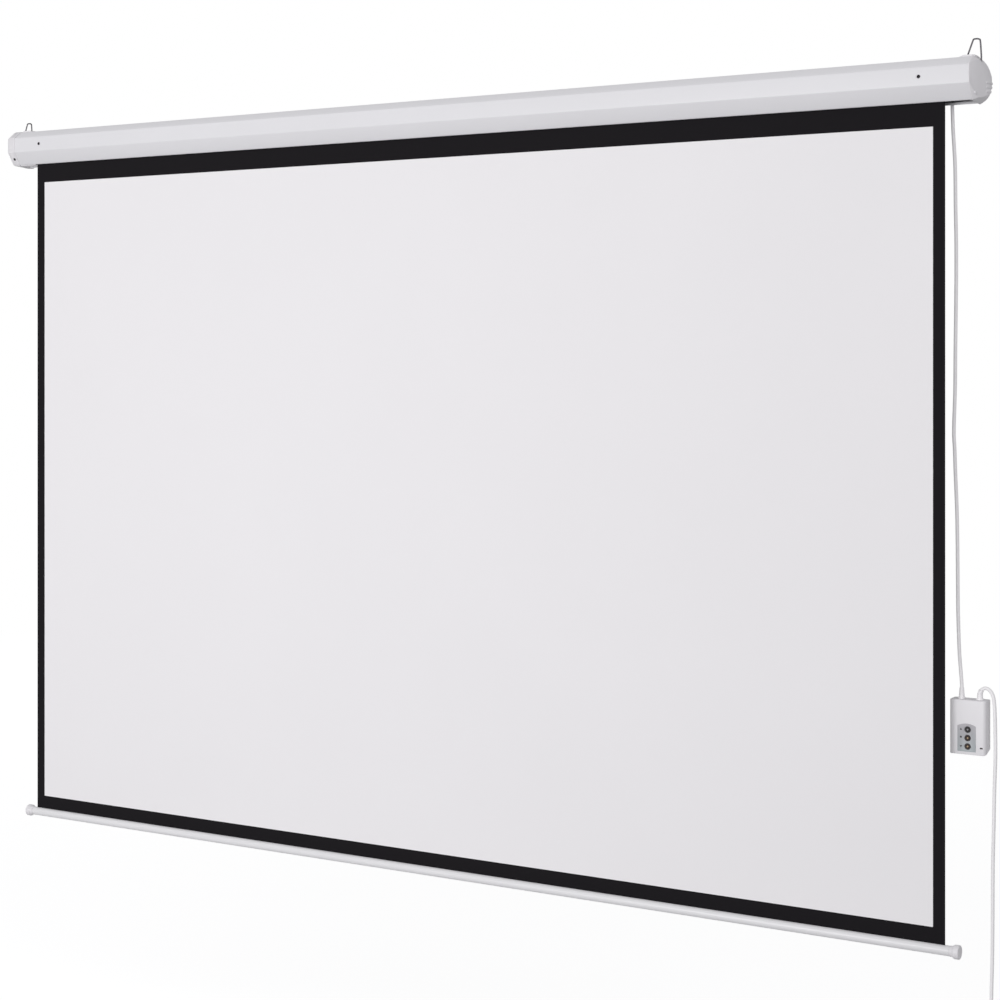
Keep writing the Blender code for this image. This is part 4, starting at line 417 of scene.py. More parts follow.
def turn_piece(name, rings, place, way, sides=48):
    """Turns a piece: a disc is extruded and resized ring by ring, then laid along a direction."""
    start_clean()
    radius, height = (size / 1000 for size in rings[0])
    bpy.ops.mesh.primitive_circle_add(vertices=sides, radius=radius, fill_type="NGON",
                                      location=(0.0, 0.0, height))
    piece = settle(name)
    edit(piece, "SELECT")
    for ring in rings[1:]:
        next_radius, next_height = (size / 1000 for size in ring)
        share = next_radius / radius
        push((0.0, 0.0, next_height - height), (share, share, 1.0), (0.0, 0.0, next_height))
        radius, height = next_radius, next_height
    bpy.ops.mesh.select_all(action="SELECT")
    bpy.ops.mesh.normals_make_consistent(inside=False)
    close_edit()
    piece.rotation_euler = way.to_track_quat("Z", "Y").to_euler()
    piece.location = place
    return settle(name)


def apply_modifier(piece, kind, **settings):
    """Adds a modifier with its settings and applies it."""
    modifier = piece.modifiers.new(kind.lower(), kind)
    for key, value in settings.items():
        setattr(modifier, key, value)
    select_only(piece)
    bpy.ops.object.modifier_apply(modifier=modifier.name)


def combine(piece, tool, operation):
    """Joins a tool to a piece, cuts it away or keeps what both share, and deletes the tool."""
    apply_modifier(piece, "BOOLEAN", operation=operation, solver="EXACT", object=tool)
    bpy.data.objects.remove(tool, do_unlink=True)


def drill(piece, place, reach, radius, sides=48):
    """Drills a round hole that reaches equally far to both sides of a place."""
    combine(piece, add_rod("hole", place - reach, place + reach, radius, sides), "DIFFERENCE")


def round_edges(piece, width, segments=3, angle=30):
    """Rounds the edges that are sharper than an angle."""
    apply_modifier(piece, "BEVEL", width=width, segments=segments, limit_method="ANGLE",
                   angle_limit=math.radians(angle))


def thicken(piece, wall):
    """Gives an open shell its wall, inwards."""
    apply_modifier(piece, "SOLIDIFY", thickness=wall, offset=-1.0, use_even_offset=True)


def finish_piece(piece, material, slot, body, *replaced, angle=32):
    """Shades a piece smooth below an angle, gives it its finish and lets it move with its body."""
    if angle:
        select_only(piece)
        bpy.ops.object.shade_smooth_by_angle(angle=math.radians(angle))
    if piece.data.materials:
        piece.data.materials.clear()
    piece.data.materials.append(bpy.data.materials[material])
    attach(piece, body)
    if replaced:
        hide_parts(*replaced)


def middle_of(node):
    """Gives the middle of a CAD node."""
    low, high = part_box(node)
    return (low + high) / 2


def foot_of(node):
    """Gives the middle of a CAD node's underside."""
    middle = middle_of(node)
    return Vector((middle.x, middle.y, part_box(node)[0].z))


def height_of(node):
    """Gives a CAD node's height in millimetres."""
    low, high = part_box(node)
    return (high.z - low.z) * 1000


def hanging(route):
    """Lays a route of (x, z) places in the plane where both cords hang."""
    return [Vector((x, CORD_PLANE, z)) for x, z in route]


def smooth_route(points, steps):
    """Runs a Catmull-Rom curve through points, with a number of steps between each two."""
    ends = [points[0] * 2 - points[1]] + list(points) + [points[-1] * 2 - points[-2]]
    made = []
    for i in range(1, len(ends) - 2):
        a, b, c, d = ends[i - 1:i + 3]
        for k in range(steps):
            t = k / steps
            made.append(0.5 * (2 * b + (c - a) * t + (2 * a - 5 * b + 4 * c - d) * t * t
                               + (3 * b - a - 3 * c + d) * t ** 3))
    return made + [points[-1]]


def add_cable(name, points, radius, rings=5):
    """Draws a round cable as a curve of one open spline through its points."""
    curve = bpy.data.curves.new(name, "CURVE")
    curve.dimensions = "3D"
    curve.bevel_depth = radius
    curve.bevel_resolution = rings
    curve.use_fill_caps = True
    spline = curve.splines.new("POLY")
    spline.points.add(len(points) - 1)
    for point, place in zip(spline.points, points):
        point.co = (*place, 1.0)
    spline.use_smooth = True
    return link_piece(name, curve)


def make_solid(cable):
    """Turns a curve into a mesh."""
    select_only(cable)
    bpy.ops.object.convert(target="MESH")
    return bpy.context.active_object


def rib_rings(count, radius, taper, foot, pitch, land, groove, cut):
    """Gives the rings of a row of ribs that get narrower, each a land and the groove above it."""
    rings = []
    for i in range(count):
        wide, start = radius - taper * i / count, foot + pitch * i
        rings += [(wide, start), (wide, start + land), (wide - cut, start + land + 0.3),
                  (wide - cut, start + land + groove)]
    return rings


def collar_rings(radius):
    """Gives the rings of a cord's collar, from inside the box to its upper edge."""
    return [(4.5, 0.0), (4.5, 3.8), (radius - 0.3, 3.8), (radius, 4.1), (radius, 6.0), (radius - 0.3, 6.4)]


# Materials

# Finishes in a colour of the settings: name, setting, its darkest and lightest share, then the size of
# the slow changes, roughness, size and depth of the grain, all in millimetres, and the IOR
PAINTS = (
    # Powder-coated steel: a satin skin with a faint orange peel about 1.5 mm across
    ("powder_coated_steel", "case", 0.985, 1.01, 160, (0.34, 0.42), 1.5, 0.02, 1.5),
    # Wet-painted aluminium: smoother and a little glossier than the case
    ("painted_aluminium", "bar", 0.985, 1.01, 120, (0.28, 0.36), 1.2, 0.01, 1.5),
    # Moulded ABS: a fine spark-eroded grain, drawn at 0.6 mm so that it shows
    ("moulded_abs", "plastic", 0.98, 1.01, 60, (0.42, 0.5), 0.6, 0.03, 1.53),
    # Extruded PVC sheath: soft gloss, with the slow waves that extrusion leaves
    ("pvc_sheath", "cord", 0.97, 1.01, 35, (0.36, 0.46), 2.5, 0.03, 1.52),
    # Black acrylic coat on the screen's back, which lets no light through: dull, with the weave in it
    ("black_acrylic_backing", "border", 0.9, 1.15, 90, (0.7, 0.8), 0.9, 0.02, 1.45),
)
# Finishes between two hex colours, with the same sizes; one without an IOR is a metal
FINISHES = (
    # Moulded ABS of buttons and fittings: a dull even black
    ("black_abs", "101011", "171618", 12, (0.4, 0.5), 0.5, 0.02, 1.5),
    # Moulded ABS rings of the two lower buttons: a brown that is almost black
    ("brown_abs", "1A0F08", "24160D", 12, (0.4, 0.5), 0.5, 0.02, 1.5),
    # Pale pads in the middles of the buttons, grey and tan: even, with little shine
    ("grey_abs", "8E8C90", "99979B", 6, (0.4, 0.5), 0.4, 0.02, 1.5),
    ("tan_abs", "AD9474", "BDA586", 6, (0.4, 0.5), 0.4, 0.02, 1.5),
    # Moulded rubber of the grommet: matt black
    ("black_rubber", "19181A", "222022", 20, (0.6, 0.72), 0.8, 0.03, 1.5),
    # Screen-printed ink: dark and flat, a little rougher than the film under it
    ("printed_ink", "2A282B", "343235", 5, (0.5, 0.6), 0.3, 0.005, 1.5),
    # Polished acrylic window over the indicator: dark red-brown with a sharp gloss
    ("tinted_acrylic", "241A1B", "2C1E1F", 8, (0.08, 0.12), 3.0, 0.002, 1.49),
    # Bright zinc plate: grey with a faint crystal mottle, on wire, screws and plates
    ("zinc_plated_steel", "8F8E91", "A6A5A8", 4, (0.26, 0.4), 0.5, 0.01),
    # Drawn spring steel of the bails: dark grey, with a soft shine along the wire
    ("spring_steel_wire", "4B494D", "646266", 6, (0.25, 0.38), 0.8, 0.01),
    # Steel of the screws, its dark colour a painted reflection: it stands for the dark that their zinc heads
    # reflect; the small bright glint comes from the lamp
    ("blackened_steel", "2E2C2F", "454347", 2, (0.16, 0.26), 0.5, 0.01),
    # Galvanised steel of the motor's tube: pale grey with broad dull patches
    ("galvanised_steel", "9A9B9D", "ACADAF", 18, (0.35, 0.5), 1.0, 0.01),
    # Mill-finish aluminium of the roller: light, even and half dull
    ("mill_aluminium", "C4C4C6", "CFCFD1", 30, (0.3, 0.42), 0.8, 0.01),
    # Nickel-plated brass of the plug's contacts: warm silver, polished
    ("nickel_plated_brass", "C9C2B0", "D4CDBB", 6, (0.18, 0.3), 0.6, 0.005),
    # Turned brass of the limit screws: yellow with a soft shine
    ("turned_brass", "B08D4A", "C29E58", 5, (0.25, 0.4), 0.4, 0.01),
    # Glass-epoxy board under green lacquer: glossy, with its weave just felt
    ("fr4_board", "1E5A36", "24673E", 14, (0.35, 0.45), 0.6, 0.01, 1.55),
    # Moulded polyester of the relays: a clear blue with a satin skin
    ("relay_polyester", "2456A0", "2A60AE", 10, (0.3, 0.4), 0.5, 0.01, 1.55),
    # Moulded nylon of the terminals: green and waxy
    ("terminal_nylon", "2F7A46", "378650", 10, (0.4, 0.5), 0.5, 0.01, 1.53),
    # Shrunk PVC sleeve of the capacitor: blue-black and smooth
    ("capacitor_pvc", "1D2433", "232B3C", 10, (0.25, 0.35), 0.5, 0.005, 1.5),
)
# The CAD nodes that stay, and what each is made of
NODE_FINISHES = {
    "zinc_plated_steel": ("end_plate_left", "idle_pin", "motor_shaft", "hem_rod", "box_screw_left",
                          "box_screw_right"),
    # The screws' dark colour is painted reflection
    "blackened_steel": ("case_screw_left", "case_screw_right", "cap_screw_left"),
    "mill_aluminium": ("roller_tube",),
    "galvanised_steel": ("motor_body",),
    "black_abs": ("motor_head", "crown_ring", "drive_wheel", "idle_plug", "motor_lead",
                  "switch_up", "switch_stop", "switch_down"),
    "turned_brass": ("limit_screw_up", "limit_screw_down"),
    "nickel_plated_brass": ("plug_blade_left", "plug_blade_right", "plug_ground_pin"),
    "fr4_board": ("circuit_board",),
    "relay_polyester": ("relay_up", "relay_down"),
    "terminal_nylon": ("terminal_block",),
    "capacitor_pvc": ("capacitor",),
    "tinted_acrylic": ("indicator_window",),
}


def shade(colour, factor):
    """Makes a colour a little darker or lighter."""
    return tuple(min(1.0, value * factor) for value in colour)


def link(tree, node, links):
    """Links sockets to the inputs of a node."""
    for key, source in links.items():
        tree.links.new(source, node.inputs[key])


def add_node(tree, kind, inputs=None, links=None, **settings):
    """Adds a node with its settings, its input values and the sockets linked to it."""
    node = tree.nodes.new("ShaderNode" + kind)
    for key, value in settings.items():
        setattr(node, key, value)
    for key, value in (inputs or {}).items():
        node.inputs[key].default_value = value
    link(tree, node, links or {})
    return node


def start_material(name, values):
    """Starts a material with constant values on its shader, and gives its nodes and its shader."""
    material = bpy.data.materials.new(name)
    material.use_nodes = True
    shader = material.node_tree.nodes["Principled BSDF"]
    for key, value in values.items():
        shader.inputs[key].default_value = value
    return material.node_tree, shader


def in_millimetres(tree, place=None):
    """Gives a place in millimetres: the one given in metres, or the surface's own."""
    if place is None:
        place = add_node(tree, "TexCoord").outputs["Object"]
    scale = add_node(tree, "VectorMath", {"Scale": 1000.0}, {0: place}, operation="SCALE")
    return scale.outputs["Vector"]


def mottled(name, first, second, mottle, rough, grain, depth, ior=None):
    """Makes a finish with slow colour and gloss changes and a fine grain, sizes in millimetres."""
    tree, shader = start_material(name, {"IOR": ior} if ior else {"Metallic": 1.0})
    place = in_millimetres(tree)
    cloud = add_node(tree, "TexNoise", {"Scale": 1 / mottle, "Detail": 3.0, "Roughness": 0.55},
                     {"Vector": place})
    tint = add_node(tree, "Mix", {6: (*first, 1.0), 7: (*second, 1.0)}, {0: cloud.outputs["Fac"]},
                    data_type="RGBA")
    gloss = add_node(tree, "MapRange", {"From Min": 0.3, "From Max": 0.7, "To Min": rough[0],
                                        "To Max": rough[1]}, {"Value": cloud.outputs["Fac"]})
    fine = add_node(tree, "TexNoise", {"Scale": 1 / grain, "Detail": 2.0, "Roughness": 0.5},
                    {"Vector": place})
    bump = add_node(tree, "Bump", {"Strength": 1.0, "Distance": depth / 1000},
                    {"Height": fine.outputs["Fac"]})
    link(tree, shader, {"Base Color": tint.outputs[2], "Roughness": gloss.outputs["Result"],
                        "Normal": bump.outputs["Normal"]})


def make_hook_and_loop():
    """Makes the tie's woven nylon strap, a matt black pile of loops about 0.8 mm apart."""
    tree, shader = start_material("hook_and_loop_nylon", {"Roughness": 0.9, "Sheen Weight": 0.4,
                                                          "Sheen Roughness": 0.5})
    loops = add_node(tree, "TexVoronoi", {"Scale": 1 / 0.8}, {"Vector": in_millimetres(tree)})
    tint = add_node(tree, "Mix", {6: (*linear("2B2A2C"), 1.0), 7: (*linear("131214"), 1.0)},
                    {0: loops.outputs["Distance"]}, data_type="RGBA")
    bump = add_node(tree, "Bump", {"Strength": 0.8, "Distance": 0.0003},
                    {"Height": loops.outputs["Distance"]})
    link(tree, shader, {"Base Color": tint.outputs[2], "Normal": bump.outputs["Normal"]})


def make_screen_cloth(colours, view_width):
    """Makes the front of the coated cloth, white inside a black border by its UV map in metres."""
    # PVC-coated fibreglass: dead matt, its weave pressed through the coating every 0.8 mm
    tree, shader = start_material("coated_fibreglass", {"Roughness": 0.85, "IOR": 1.45,
                                                        "Specular IOR Level": 0.15})
    uv = add_node(tree, "UVMap", uv_map="cloth").outputs["UV"]
    spot = add_node(tree, "SeparateXYZ", links={"Vector": uv})
    across = add_node(tree, "Math", links={0: spot.outputs["X"]}, operation="ABSOLUTE")
    outside = add_node(tree, "Math", {1: view_width / 2}, {0: across.outputs[0]}, operation="GREATER_THAN")
    above = add_node(tree, "Math", {1: 0.0}, {0: spot.outputs["Y"]}, operation="GREATER_THAN")
    border = add_node(tree, "Math", links={0: outside.outputs[0], 1: above.outputs[0]}, operation="MAXIMUM")
    wide = in_millimetres(tree, uv)
    cloud = add_node(tree, "TexNoise", {"Scale": 1 / 420, "Detail": 2.0}, {"Vector": wide})
    white = add_node(tree, "Mix", {6: (*shade(colours.screen, 0.985), 1.0),
                                   7: (*shade(colours.screen, 1.01), 1.0)},
                     {0: cloud.outputs["Fac"]}, data_type="RGBA")
    tint = add_node(tree, "Mix", {7: (*colours.border, 1.0)},
                    {0: border.outputs[0], 6: white.outputs[2]}, data_type="RGBA")
    weave = add_node(tree, "TexChecker", {"Scale": 1 / 0.8}, {"Vector": wide})
    bump = add_node(tree, "Bump", {"Strength": 0.25, "Distance": 0.00005},
                    {"Height": weave.outputs["Fac"]})
    link(tree, shader, {"Base Color": tint.outputs[2], "Normal": bump.outputs["Normal"]})


def make_label_film(colours):
    """Makes the printed polyester label, a grey that turns from mauve to blue down its height."""
    tree, shader = start_material("printed_polyester", {"IOR": 1.5})
    low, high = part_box("label_plate")
    place = in_millimetres(tree)
    spot = add_node(tree, "SeparateXYZ", links={"Vector": place})
    share = add_node(tree, "MapRange", {"From Min": low.z * 1000, "From Max": high.z * 1000},
                     {"Value": spot.outputs["Z"]})
    tint = add_node(tree, "Mix", {6: (*colours.label_foot, 1.0), 7: (*colours.label_top, 1.0)},
                    {0: share.outputs["Result"]}, data_type="RGBA")
    grain = add_node(tree, "TexNoise", {"Scale": 1 / 0.5}, {"Vector": place})
    gloss = add_node(tree, "MapRange", {"To Min": 0.35, "To Max": 0.5}, {"Value": grain.outputs["Fac"]})
    link(tree, shader, {"Base Color": tint.outputs[2], "Roughness": gloss.outputs["Result"]})


def make_floor_paint():
    """Makes the floor's matt paint, which the camera sees go over into the white around it."""
    tree, shader = start_material("matt_white_floor", {"Roughness": 0.9})
    place = in_millimetres(tree)
    path = add_node(tree, "LightPath")
    seen = add_node(tree, "Math", links={0: path.outputs["Is Camera Ray"], 1: path.outputs["Is Glossy Ray"]},
                    operation="MAXIMUM")
    tint = add_node(tree, "Mix", {6: (*linear("A2A2A4"), 1.0), 7: (*linear("F8F8F9"), 1.0)},
                    {0: seen.outputs[0]}, data_type="RGBA")
    far = add_node(tree, "VectorMath", links={0: place}, operation="LENGTH").outputs["Value"]
    reach = {"From Min": 3000.0, "From Max": 8000.0, "To Max": 1.0}
    fade = add_node(tree, "MapRange", {**reach, "To Min": 0.72}, {"Value": far})
    strength = add_node(tree, "MapRange", {**reach, "To Min": 1.17}, {"Value": far})
    glow = add_node(tree, "Emission", {"Color": (1.0, 1.0, 1.0, 1.0)},
                    {"Strength": strength.outputs["Result"]})
    share = add_node(tree, "Math", links={0: seen.outputs[0], 1: fade.outputs["Result"]},
                     operation="MULTIPLY")
    mix = add_node(tree, "MixShader", links={0: share.outputs[0], 1: shader.outputs[0], 2: glow.outputs[0]})
    link(tree, shader, {"Base Color": tint.outputs[2]})
    link(tree, tree.nodes["Material Output"], {"Surface": mix.outputs[0]})


def light_surroundings(context):
    """Lights the room evenly, and shows white where the camera looks past the object."""
    world = context.scene.world or bpy.data.worlds.new("studio")
    context.scene.world = world
    world.use_nodes = True
    tree = world.node_tree
    tree.nodes.clear()
    strength = context.scene.projector_stage.world_strength
    soft = add_node(tree, "Background", {"Color": (*linear("F6F6F8"), 1.0), "Strength": strength})
    white = add_node(tree, "Background", {"Color": (1.0, 1.0, 1.0, 1.0), "Strength": 1.0})
    path = add_node(tree, "LightPath")
    mix = add_node(tree, "MixShader", links={0: path.outputs["Is Camera Ray"], 1: soft.outputs[0],
                                             2: white.outputs[0]})
    add_node(tree, "OutputWorld", links={"Surface": mix.outputs[0]})


# Operators, one for each piece or group of like pieces

class PROJECTOR_OT_camera(bpy.types.Operator):
    """Sets the camera where the photograph was taken"""

    bl_idname = "projector.camera"
    bl_label = "Camera"

    def execute(self, context):
        bpy.ops.object.camera_add(location=CAMERA_PLACE, rotation=(math.pi / 2, 0.0, CAMERA_TURN))
        camera = context.active_object
        camera.name = "camera"
        camera.data.lens = context.scene.projector_stage.lens
        camera.data.sensor_width = 36.0
        camera.data.shift_y = CAMERA_SHIFT
        camera.data.clip_end = 100.0
        context.scene.camera = camera
        return {"FINISHED"}


class PROJECTOR_OT_materials(bpy.types.Operator):
    """Makes the object's materials and gives the CAD nodes that stay their own"""

    bl_idname = "projector.materials"
    bl_label = "Materials"

    def execute(self, context):
        colours = context.scene.projector_colours
        for name, setting, dark, light, *sizes in PAINTS:
            paint = getattr(colours, setting)
            mottled(name, shade(paint, dark), shade(paint, light), *sizes)
        for name, first, second, *sizes in FINISHES:
            mottled(name, linear(first), linear(second), *sizes)
        make_hook_and_loop()
        make_screen_cloth(colours, context.scene.projector_screen.view_width)
        make_label_film(colours)
        for finish, names in NODE_FINISHES.items():
            for name in names:
                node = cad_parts[name]
                node.data.materials.clear()
                node.data.materials.append(bpy.data.materials[finish])
        return {"FINISHED"}


class PROJECTOR_OT_motor_cable(bpy.types.Operator):
    """Hangs the motor's cable from the grommet under the case down to the control box"""

    bl_idname = "projector.motor_cable"
    bl_label = "Motor Cable"

    def execute(self, context):
        radius = context.scene.projector_cords.diameter / 2
        low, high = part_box("motor_cable")
        foot = middle_of("relief_motor").x
        straight, into_grommet, into_box = 0.007, 0.001, 0.002
        route = [(GROMMET, high.z + into_grommet), (GROMMET, high.z - straight), *MOTOR_ROUTE,
                 (foot, low.z + straight), (foot, low.z - into_box)]
        cable = add_cable("motor_cable_sheath", smooth_route(hanging(route), 8), radius)
        finish_piece(cable, "pvc_sheath", "cord_white", "case", "motor_cable", angle=0)
        return {"FINISHED"}


def hank_place(cords, turns, centre):
    """Gives one point of the hank's winding, counted in turns from the middle of its right run."""
    radius = cords.hank_fold + cords.hank_pitch * abs(1.5 - turns)
    run, half, arc = cords.hank_run, cords.hank_run / 2, math.pi * radius
    loop = 2 * run + 2 * arc
    along = (turns % 1.0) * loop
    climb = min(1.0, max(0.0, (turns - 1.25) / 0.5))
    lift = cords.hank_lift * climb * climb * (3 - 2 * climb)
    if along < half or along >= loop - half:
        down = along if along < half else along - loop
        side, height = radius - cords.hank_waist * math.cos(math.pi * down / run) ** 2, -down
    elif along < half + arc:
        angle = (along - half) / radius
        side, height = radius * math.cos(angle), -half - radius * math.sin(angle)
    elif along < half + arc + run:
        up = along - half - arc - half
        side, height = cords.hank_waist * math.cos(math.pi * up / run) ** 2 - radius, up
    else:
        angle = (along - half - arc - run) / radius
        side, height = -radius * math.cos(angle), half + radius * math.sin(angle)
    return centre + Vector((side, lift, height))


def hank_route(cords):
    """Winds three turns, with a straight lead in at the hank's top and out at its foot."""
    turns, lead_share, into_plug = 3.0, 0.97, 0.009
    radius = cords.hank_fold + turns / 2 * cords.hank_pitch
    loop = 2 * cords.hank_run + 2 * math.pi * radius
    lead = lead_share * (cords.hank_run / 2) / loop
    centre = Vector((HANK_ENTRY - radius - cords.hank_pitch * lead, CORD_PLANE, middle_of("hank_tie").z))
    total = turns + 2 * lead
    count = round(total * cords.hank_points)
    points = [hank_place(cords, -lead + total * i / count, centre) for i in range(count + 1)]
    return points + [points[-1] - Z_AXIS * into_plug]


class PROJECTOR_OT_mains_cord(bpy.types.Operator):
    """Hangs the mains cord from the box's sleeve down to its hank and its plug"""

    bl_idname = "projector.mains_cord"
    bl_label = "Mains Cord"

    def execute(self, context):
        cords = context.scene.projector_cords
        route = hanging(MAINS_ROUTE) + hank_route(cords)
        cable = add_cable("mains_cord_sheath", smooth_route(route, 4), cords.diameter / 2)
        finish_piece(cable, "pvc_sheath", "cord_white", "case", "mains_cord", "mains_hank", angle=0)
        return {"FINISHED"}


def case_cuts(half_depth, top, bottom, sizes):
    """Gives the four planes that turn a block into the case's eight-sided section."""
    cuts = []
    for sign in (-1, 1):
        cuts.append(((0.0, sign * half_depth, top - sizes.bevel_rise),
                     (0.0, sign * sizes.bevel_rise, sizes.bevel_run)))
        cuts.append(((0.0, sign * half_depth, bottom + sizes.low_rise),
                     (0.0, sign * sizes.low_rise, -sizes.low_run)))
    return cuts


def cut_bail_slots(piece, word):
    """Cuts the two slots at one end that the bail's legs slide through."""
    middle, top = middle_of("bail_" + word).x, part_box("case_shell")[1].z
    half_width, reach = 0.002, 0.014
    for start, end in BAIL_SLOTS:
        slot = add_block("slot", (middle + start / 1000, -half_width, top - reach),
                         (middle + end / 1000, half_width, top + reach))
        combine(piece, slot, "DIFFERENCE")


class PROJECTOR_OT_case(bpy.types.Operator):
    """Models the case: bent steel sheet with bevelled edges, open along the screen's slot"""

    bl_idname = "projector.case"
    bl_label = "Case"

    def execute(self, context):
        sizes = context.scene.projector_case
        low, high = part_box("case_shell")
        bottom = low.z + sizes.lip_drop
        case = add_block("case_sheet", (low.x, low.y, bottom), high)
        cut_off(case, case_cuts(high.y, high.z, bottom, sizes))
        edit(case)
        for y in (-sizes.slot_front, sizes.slot_rear):
            pick(case, "FACE", lambda place, normal: normal.z < -0.9)
            plane_cut((0.0, y, 0.0), Y_AXIS, remove=False)
        delete_picked(case, lambda place, normal: abs(normal.x) > 0.9 or (
            normal.z < -0.9 and -sizes.slot_front < place.y < sizes.slot_rear))
        pick(case, "EDGE", lambda place, way: abs(way.x) > 0.9 and abs(place.y - sizes.slot_rear) < NEAR
             and place.z < bottom + NEAR)
        bpy.ops.mesh.extrude_edges_move(TRANSFORM_OT_translate={"value": (0.0, 0.0, -sizes.lip_drop)})
        bevel_picked(case, sizes.edge, 4, lambda place, way: abs(way.x) > 0.9 and (
            place.z > bottom + NEAR or abs(place.y) > sizes.slot_front + NEAR))
        close_edit()
        thicken(case, sizes.wall)
        reach = 0.01
        drill(case, Vector((GROMMET, CORD_PLANE, bottom)), Z_AXIS * reach, sizes.gland_hole)
        for word in SIDES:
            cut_bail_slots(case, word)
            screw = middle_of("case_screw_" + word)
            drill(case, Vector((screw.x, low.y, screw.z)), Y_AXIS * reach, sizes.screw_hole)
        finish_piece(case, "powder_coated_steel", "case_paint", "case", "case_shell")
        return {"FINISHED"}


class PROJECTOR_OT_end_caps(bpy.types.Operator):
    """Models the moulded end caps with their domed ends, bail humps and grip ribs"""

    bl_idname = "projector.end_caps"
    bl_label = "End Caps"

    def execute(self, context):
        for word in SIDES:
            self.make_cap(word, context.scene.projector_case)
        self.shorten_plate()
        return {"FINISHED"}

    def dome_rings(self, word, sizes, length):
        """Gives the rings of a dome, as how far each lies in from the edge and out along the case."""
        if word == "left":
            turns = [math.pi / 2 * i / 9.5 for i in range(1, 10)]
            return [(sizes.cap_round * (1 - math.cos(turn)), sizes.cap_round * math.sin(turn))
                    for turn in turns]
        return [(inset / 1000, length * (1 - (1 - inset / 1000 / sizes.dome_half) ** sizes.dome_fullness))
                for inset in DOME_INSETS]

    def make_cap(self, word, sizes):
        """Models one cap at the right end, and turns it over for the left."""
        case_low, case_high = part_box("case_shell")
        cap_low, cap_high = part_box("end_cap_" + word)
        inner, outer = sorted((abs(cap_low.x), abs(cap_high.x)))
        start = case_high.x + sizes.cap_rim
        length = outer - start
        straight = length - sizes.cap_round if word == "left" else sizes.dome_skirt
        floor_z = cap_low.z + sizes.toe_drop
        roof_z = case_high.z + cap_high.y - case_high.y
        middle = Vector((start, 0.0, (roof_z + floor_z) / 2))
        half = (roof_z - floor_z) / 2
        crown = middle if word == "left" else middle + CROWN_SHIFT
        cap = add_block("end_cap_moulding_" + word, (start, cap_low.y, cap_low.z),
                        (start + straight, cap_high.y, roof_z))
        toe = ((0.0, -sizes.toe_half, floor_z), (0.0, -sizes.toe_drop, -2 * sizes.toe_half))
        cut_off(cap, case_cuts(cap_high.y, roof_z, floor_z, sizes) + [toe])
        edit(cap)
        pick(cap, "FACE", lambda place, normal: normal.x < -0.99)
        rim_share = 0.983
        push((-sizes.cap_rim, 0.0, 0.0), (1.0, rim_share, rim_share), middle)
        pick(cap, "FACE", lambda place, normal: normal.x > 0.99)
        inset_done, reach_done = 0.0, 0.0
        for inset, reach in self.dome_rings(word, sizes, length - straight):
            share = (half - inset) / (half - inset_done)
            push((reach - reach_done, 0.0, 0.0), (1.0, share, share), crown)
            inset_done, reach_done = inset, reach
        bevel_picked(cap, sizes.cap_edge, 4,
                     lambda place, way: abs(way.x) > 0.015 and place.x > start + straight / 2)
        if word == "right":
            slope = Vector((math.sin(sizes.dome_slope), -math.cos(sizes.dome_slope), 0.0))
            bpy.ops.mesh.select_all(action="SELECT")
            plane_cut((start + straight, cap_low.y, 0.0), slope)
            self.add_painted_screw(start + straight, cap_low.y, slope)
        close_edit()
        cavity = copy_piece(cap, "cavity")
        edit(cavity, "SELECT")
        share = 1 - sizes.cap_wall / half
        bpy.ops.transform.resize(value=(1.0, share, share), center_override=middle)
        close_edit()
        shift_piece(cavity, (-sizes.cap_wall, 0.0, 0.0))
        forms = [self.add_hump(sizes, inner, case_high, cap_high.z, roof_z)]
        forms += self.cut_ribs(cap, word, sizes)
        if word == "left":
            forms.append(self.add_tongue(sizes, case_low.z, start))
        for form in forms:
            combine(cap, form, "UNION")
        combine(cap, cavity, "DIFFERENCE")
        if word == "left":
            self.turn_over(cap)
        cut_bail_slots(cap, word)
        finish_piece(cap, "moulded_abs", "cap_plastic", "case", "end_cap_" + word)

    def add_hump(self, sizes, inner, case_high, top, roof_z):
        """Adds the hump that the bail comes out of, with its ramp and its bevelled outer edge."""
        gap, ramp_start, rounding = 0.0003, 0.0009, 0.0008
        end = case_high.x + sizes.hump_reach
        hump = add_block("hump", (inner, -sizes.hump_half, case_high.z + gap), (end, sizes.hump_half, top))
        ramp = (-sizes.hump_rise, 0.0, sizes.hump_ramp)
        cut_off(hump, [((inner, 0.0, case_high.z + ramp_start), ramp), ((end, 0.0, roof_z), (1.0, 0.0, 1.0))])
        round_edges(hump, rounding, 2)
        return hump

    def cut_ribs(self, cap, word, sizes):
        """Slices the grip ribs out of copies of the solid cap, so that they follow its dome."""
        front, past_case, proud = 0.004, 0.0075, (0.0013, 0.0009, 0.0)
        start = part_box("case_shell")[1].x + past_case
        top = middle_of("case_shell").z + RIB_TOPS[word]
        ribs = []
        for _ in range(3):
            rib = copy_piece(cap, "rib")
            cut_off(rib, [((0.0, 0.0, top), Z_AXIS), ((0.0, 0.0, top - sizes.rib_height), -Z_AXIS),
                          ((0.0, front, 0.0), -Y_AXIS), ((start, 0.0, 0.0), -X_AXIS)])
            shift_piece(rib, proud)
            ribs.append(rib)
            top -= sizes.rib_pitch
        return ribs

    def add_tongue(self, sizes, bottom, cap_start):
        """Adds the tongue that closes the slot's end beside the screen, and reaches into the cap."""
        gap, past_screen, into_cap, underside, upside = 0.0003, 0.0035, 0.002, 0.0022, 0.0039
        screen_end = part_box("screen_fabric")[1].x
        return add_block("tongue", (screen_end + past_screen, gap - sizes.slot_front, bottom + underside),
                         (cap_start + into_cap, sizes.slot_rear - gap, bottom + upside))

    def turn_over(self, piece):
        """Mirrors a piece to the other end of the case and turns its faces outwards again."""
        edit(piece, "SELECT")
        bpy.ops.transform.resize(value=(-1.0, 1.0, 1.0), center_override=(0.0, 0.0, 0.0))
        bpy.ops.mesh.flip_normals()
        close_edit()

